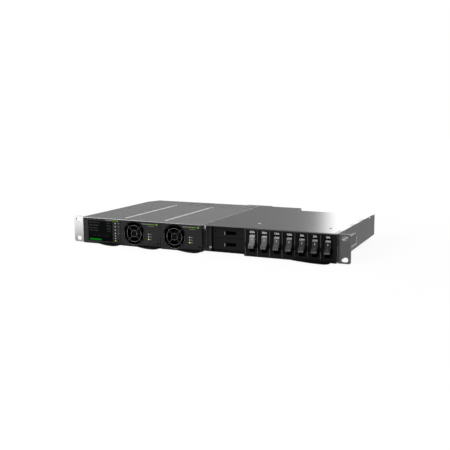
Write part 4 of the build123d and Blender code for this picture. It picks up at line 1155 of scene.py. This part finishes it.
to_front = Vector((0, -1, 0))
angles = [step * 2 * pi / rim_steps for step in range(rim_steps)]
outward = [Vector((cos(angle), 0, sin(angle))) for angle in angles]
spokes_outward = outward[rim_steps // spoke_count // 2::rim_steps // spoke_count]
for body in module_bodies[1:]:
    low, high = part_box(f"{body}_fan_guard")
    middle = Vector(((low.x + high.x) / 2, low.y + guard_wire_radius, (low.z + high.z) / 2))
    shape = bmesh.new()
    ring = [(middle + rim_radius * out, out, to_front) for out in outward]
    add_tube(shape, ring, True, rim_wire)
    for out in spokes_outward:
        across = out.cross(to_front)
        ends = [middle - spoke_set_back * to_front + reach * out for reach in (spoke_start, rim_radius)]
        add_tube(shape, [(end, across, to_front) for end in ends], False, spoke_wire)
    make_piece(f"{body}_guard_rim", shape, body, "rim_wire")

# %% [markdown]
# ## Rear details
# The photograph does not show the rear, so only what any such unit has is added there: brass skins on
# the inlets' pins, and screws on the two terminal strips. A loop over the ways of a strip places one
# screw in each, turned a little further every time, as no one tightens them all alike.

# %% Inlet pins
pin_width = 2.0 * mm
pin_tall = 4.0 * mm
pin_skin = 0.05 * mm
pin_corner = 0.3 * mm
pin_set_back = 1.0 * mm
pin_places = ((-7.0 * mm, -1.0 * mm), (0.0, 2.0 * mm), (7.0 * mm, -1.0 * mm))
shape = bmesh.new()
for number in (1, 2):
    low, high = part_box(f"ac_inlet_{number}")
    middle_x = (low.x + high.x) / 2
    middle_z = (low.z + high.z) / 2
    for across, up in pin_places:
        matrix = facing_back(middle_x + across, high.y - pin_set_back, middle_z + up)
        add_plate(shape, pin_width + pin_skin, pin_tall + pin_skin, pin_skin, matrix, pin_corner)
make_piece("inlet_pin_ends", shape, "chassis", "pin_brass")

# %% Screws of the alarm terminals
alarm_low, alarm_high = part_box("alarm_terminal_block")
alarm_ways = 10
alarm_screw_radius = 1.5 * mm
alarm_screw_rise = 0.3 * mm
alarm_screw_inset = 5.0 * mm
alarm_slot_size = (2.2 * mm, 0.45 * mm, 0.03 * mm)
alarm_turn_start = 35
alarm_turn_step = 40
slot_sink = 0.02 * mm
slot_corner = 0.05 * mm
screws = bmesh.new()
# The terminal screws' slots are dark inlays too, painted shade.
slots = bmesh.new()
for way in range(alarm_ways):
    x = alarm_low.x + (way + 0.5) * (alarm_high.x - alarm_low.x) / alarm_ways
    y = alarm_high.y - alarm_screw_inset
    place = facing_up(x, y, alarm_high.z)
    add_dome(screws, alarm_screw_radius, alarm_screw_rise, place, segments=18)
    slot_place = facing_up(x, y, alarm_high.z + alarm_screw_rise - slot_sink)
    turned = slot_place @ Matrix.Rotation(radians(alarm_turn_start + alarm_turn_step * way), 4, "Z")
    add_plate(slots, *alarm_slot_size, turned, slot_corner)
print("alarm terminals:", alarm_ways, "screws")

# %% Screws and clamps of the output terminals
output_low, output_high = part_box("output_terminal_block")
output_ways = 7
barrier_sheet = 1.6 * mm
barrier_gap = 3.4 * mm
clamp_depth = 14.0 * mm
clamp_sheet = 1.2 * mm
clamp_corner = 1.0 * mm
output_screw_radius = 3.4 * mm
output_screw_rise = 1.6 * mm
output_slot_size = (4.6 * mm, 0.8 * mm, 0.05 * mm)
output_turn_start = 15
output_turn_step = 50
base_rise = 12.0 * mm
base_high = output_low.z + base_rise
clamp_high = base_high + clamp_sheet
way_pitch = (output_high.x - output_low.x - barrier_sheet) / output_ways
for way in range(output_ways):
    x = output_low.x + barrier_sheet / 2 + (way + 0.5) * way_pitch
    y = (output_low.y + output_high.y) / 2
    clamp_width = way_pitch - barrier_gap
    clamp_place = facing_up(x, y, base_high)
    add_plate(screws, clamp_width, clamp_depth, clamp_sheet, clamp_place, clamp_corner)
    add_dome(screws, output_screw_radius, output_screw_rise, facing_up(x, y, clamp_high))
    slot_place = facing_up(x, y, clamp_high + output_screw_rise - slot_sink)
    turned = slot_place @ Matrix.Rotation(radians(output_turn_start + output_turn_step * way), 4, "Z")
    add_plate(slots, *output_slot_size, turned, 2 * slot_corner)
make_piece("terminal_screws", screws, "chassis", "screw_steel")
make_piece("terminal_screw_slots", slots, "chassis", "dark_recess")

# %% [markdown]
# ## The studio
# A product picture on white has a trick: the camera sees a white world, while shiny surfaces see a
# studio of grey walls and bright panels. Real panels would have to be hidden from the camera and
# would light the matt plastics too, so they are drawn in the world's shader, which asks what kind of
# ray is looking. They are placed by the direction of the ray and stay put when the camera moves.

# %% World graph helpers
world = bpy.data.worlds.new("studio")
bpy.context.scene.world = world
world.use_nodes = True
world_nodes = world.node_tree.nodes
world_nodes.clear()


def world_math(operation, first, second=None):
    """A math node; each input is a number or another node's output."""
    node = world_nodes.new("ShaderNodeMath")
    node.operation = operation
    for socket, value in zip(node.inputs, (first, second)):
        if value is None:
            continue
        if isinstance(value, (int, float)):
            socket.default_value = value
        else:
            world.node_tree.links.new(value, socket)
    return node.outputs["Value"]


def smooth_step(value, low, high):
    """0 below low, 1 above high, smooth between them. With low above high it falls instead."""
    node = world_nodes.new("ShaderNodeMapRange")
    node.interpolation_type = "SMOOTHSTEP"
    node.inputs["From Min"].default_value = low
    node.inputs["From Max"].default_value = high
    world.node_tree.links.new(value, node.inputs["Value"])
    return node.outputs["Result"]


def product(*factors):
    """Multiplies numbers and node outputs, one math node for each further one."""
    result = factors[0]
    for factor in factors[1:]:
        result = world_math("MULTIPLY", result, factor)
    return result


def total(*terms):
    """Adds numbers and node outputs in the same way."""
    result = terms[0]
    for term in terms[1:]:
        result = world_math("ADD", result, term)
    return result


print("world helpers ready")

# %% [markdown]
# The back panel begins just right of where the covers' reflections look, and gives the white sweep
# over the right end of the cover. A second panel at the front left brightens the left ear, and a
# third at the right draws thin light lines on the edges that face it. Overhead is a soft ceiling.

# %% Panels seen in reflections
direction = world_nodes.new("ShaderNodeSeparateXYZ")
ray = world_nodes.new("ShaderNodeTexCoord")
world.node_tree.links.new(ray.outputs["Generated"], direction.inputs["Vector"])
heading = world_math("ARCTAN2", direction.outputs["X"], direction.outputs["Y"])
rise = direction.outputs["Z"]
depth = direction.outputs["Y"]

front_wall = 0.17
back_wall = 0.23
back_panel_level = 1.5
left_panel_level = 1.4
left_panel_glow = 2.4
right_panel_level = 6.0
ceiling_level = 0.3
walls = total(front_wall, product(smooth_step(depth, -0.4, 0.2), back_wall - front_wall))
back_panel = product(
    smooth_step(heading, radians(-17.9), radians(-16.3)),
    smooth_step(heading, radians(75), radians(60)),
    smooth_step(rise, -0.06, 0.04),
    back_panel_level,
)
left_panel = product(
    smooth_step(heading, radians(-158), radians(-147)),
    smooth_step(heading, radians(-95), radians(-110)),
    total(left_panel_level, product(smooth_step(rise, -0.185, -0.145), left_panel_glow)),
    smooth_step(rise, -0.40, -0.22),
    smooth_step(rise, 0.08, -0.07),
)
right_panel = product(
    smooth_step(heading, radians(92), radians(104)),
    smooth_step(heading, radians(138), radians(126)),
    smooth_step(rise, -0.50, -0.30),
    smooth_step(rise, 0.10, -0.05),
    right_panel_level,
)
ceiling = product(smooth_step(rise, 0.45, 0.75), ceiling_level)
studio = total(walls, back_panel, left_panel, right_panel, ceiling)
print("studio: walls, three panels and a ceiling")

# %% Choose what each kind of ray sees
ray_kind = world_nodes.new("ShaderNodeLightPath")
soft_level = 0.5
shiny_ray = world_math(
    "MAXIMUM",
    ray_kind.outputs["Is Glossy Ray"],
    ray_kind.outputs["Is Transmission Ray"],
)
level = total(
    product(shiny_ray, studio),
    product(world_math("SUBTRACT", 1, shiny_ray), soft_level),
)
camera_ray = ray_kind.outputs["Is Camera Ray"]
level = total(product(world_math("SUBTRACT", 1, camera_ray), level), camera_ray)
background = world_nodes.new("ShaderNodeBackground")
background.inputs["Color"].default_value = (1, 1, 1, 1)
world_output = world_nodes.new("ShaderNodeOutputWorld")
world.node_tree.links.new(level, background.inputs["Strength"])
world.node_tree.links.new(background.outputs["Background"], world_output.inputs["Surface"])
world.cycles.sampling_method = "NONE"
print("world has", len(world_nodes), "nodes")

# %% [markdown]
# One large soft lamp at the front left gives the fronts their light and the floor a faint shadow. A
# sun lamp would give hard shadows. The lamp's power is small: at under two metres, a few watts
# already light a colour about as it is written.

# %% Lamp
lamp_place = Vector((-0.95, -1.15, 0.95))
lamp_data = bpy.data.lights.new("front_lamp", "AREA")
lamp_data.shape = "RECTANGLE"
lamp_data.size = 1.3
lamp_data.size_y = 0.9
lamp_data.energy = 16
lamp = bpy.data.objects.new("front_lamp", lamp_data)
lamp.location = lamp_place
lamp.rotation_euler = (-lamp_place).to_track_quat("-Z", "Y").to_euler()
bpy.context.scene.collection.objects.link(lamp)
print("lamp", round(lamp_place.length, 2), "m away")

# %% [markdown]
# ## Floor
# The unit lies on a white floor. Near it the floor is partly a real white surface that takes the
# shadow, and further out it fades to the white of the background, by distance over the floor itself.
# Reflections don't show it, because the world gives them their studio.

# %% The floor's sheet
floor_half = 4.0
floor_rings = 3
floor_drop = 0.2 * mm
floor_height = cad_low.z - floor_drop
floor_shape = bmesh.new()
for ring in range(-floor_rings, floor_rings + 1):
    for column in range(-floor_rings, floor_rings + 1):
        x = ring * floor_half / floor_rings
        y = column * floor_half / floor_rings
        floor_shape.verts.new((x, y, floor_height))
floor_shape.verts.ensure_lookup_table()
row = 2 * floor_rings + 1
for ring in range(row - 1):
    for column in range(row - 1):
        start = ring * row + column
        corners = (start, start + row, start + row + 1, start + 1)
        floor_shape.faces.new([floor_shape.verts[corner] for corner in corners])
mesh = bpy.data.meshes.new("white_floor")
floor_shape.to_mesh(mesh)
floor_shape.free()
floor = bpy.data.objects.new("white_floor", mesh)
bpy.context.scene.collection.objects.link(floor)
floor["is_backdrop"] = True
floor.visible_glossy = False
print("floor at", round(floor_height / mm, 2), "mm")

# %% The floor's white
floor_tone = (0.9, 0.9, 0.9, 1)
floor_roughness = 0.9
material = bpy.data.materials.new("floor_white")
material.use_nodes = True
graph = material.node_tree
shader = graph.nodes["Principled BSDF"]
shader.inputs["Base Color"].default_value = floor_tone
shader.inputs["Roughness"].default_value = floor_roughness
shader.inputs["Specular IOR Level"].default_value = 0.0
shadow_share = 0.15
floor_glow = 1.06
fade_start = 0.35
fade_end = 1.1
place = add(material, "ShaderNodeTexCoord")
distance = add(material, "ShaderNodeVectorMath", operation="LENGTH")
fade = add(material, "ShaderNodeMapRange", interpolation_type="SMOOTHSTEP")
fade.inputs["From Min"].default_value = fade_start
fade.inputs["From Max"].default_value = fade_end
fade.inputs["To Min"].default_value = 1 - shadow_share
fade.inputs["To Max"].default_value = 1.0
seen = add(material, "ShaderNodeLightPath")
share = add(material, "ShaderNodeMath", operation="MULTIPLY")
glow = add(material, "ShaderNodeEmission")
glow.inputs["Strength"].default_value = floor_glow
mix = add(material, "ShaderNodeMixShader")
join(material, place.outputs["Object"], distance.inputs[0])
join(material, distance.outputs["Value"], fade.inputs["Value"])
join(material, fade.outputs["Result"], share.inputs[0])
join(material, seen.outputs["Is Camera Ray"], share.inputs[1])
join(material, share.outputs["Value"], mix.inputs["Fac"])
join(material, shader.outputs["BSDF"], mix.inputs[1])
join(material, glow.outputs["Emission"], mix.inputs[2])
join(material, mix.outputs["Shader"], graph.nodes["Material Output"].inputs["Surface"])
mesh.materials.append(material)
print("floor fades to plain white from", fade_start, "to", fade_end, "m")

# %% [markdown]
# ## Colour and size
# The Standard view shows each colour as it is written, where a film look would bend the greys. The
# last step measures the dressed unit and prints its box. Set against the bare one's, printed at the
# start, a piece that sticks out too far shows up as a number.

bpy.context.scene.view_settings.view_transform = "Standard"
low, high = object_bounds()
print("visual model from", tuple(low), "to", tuple(high))
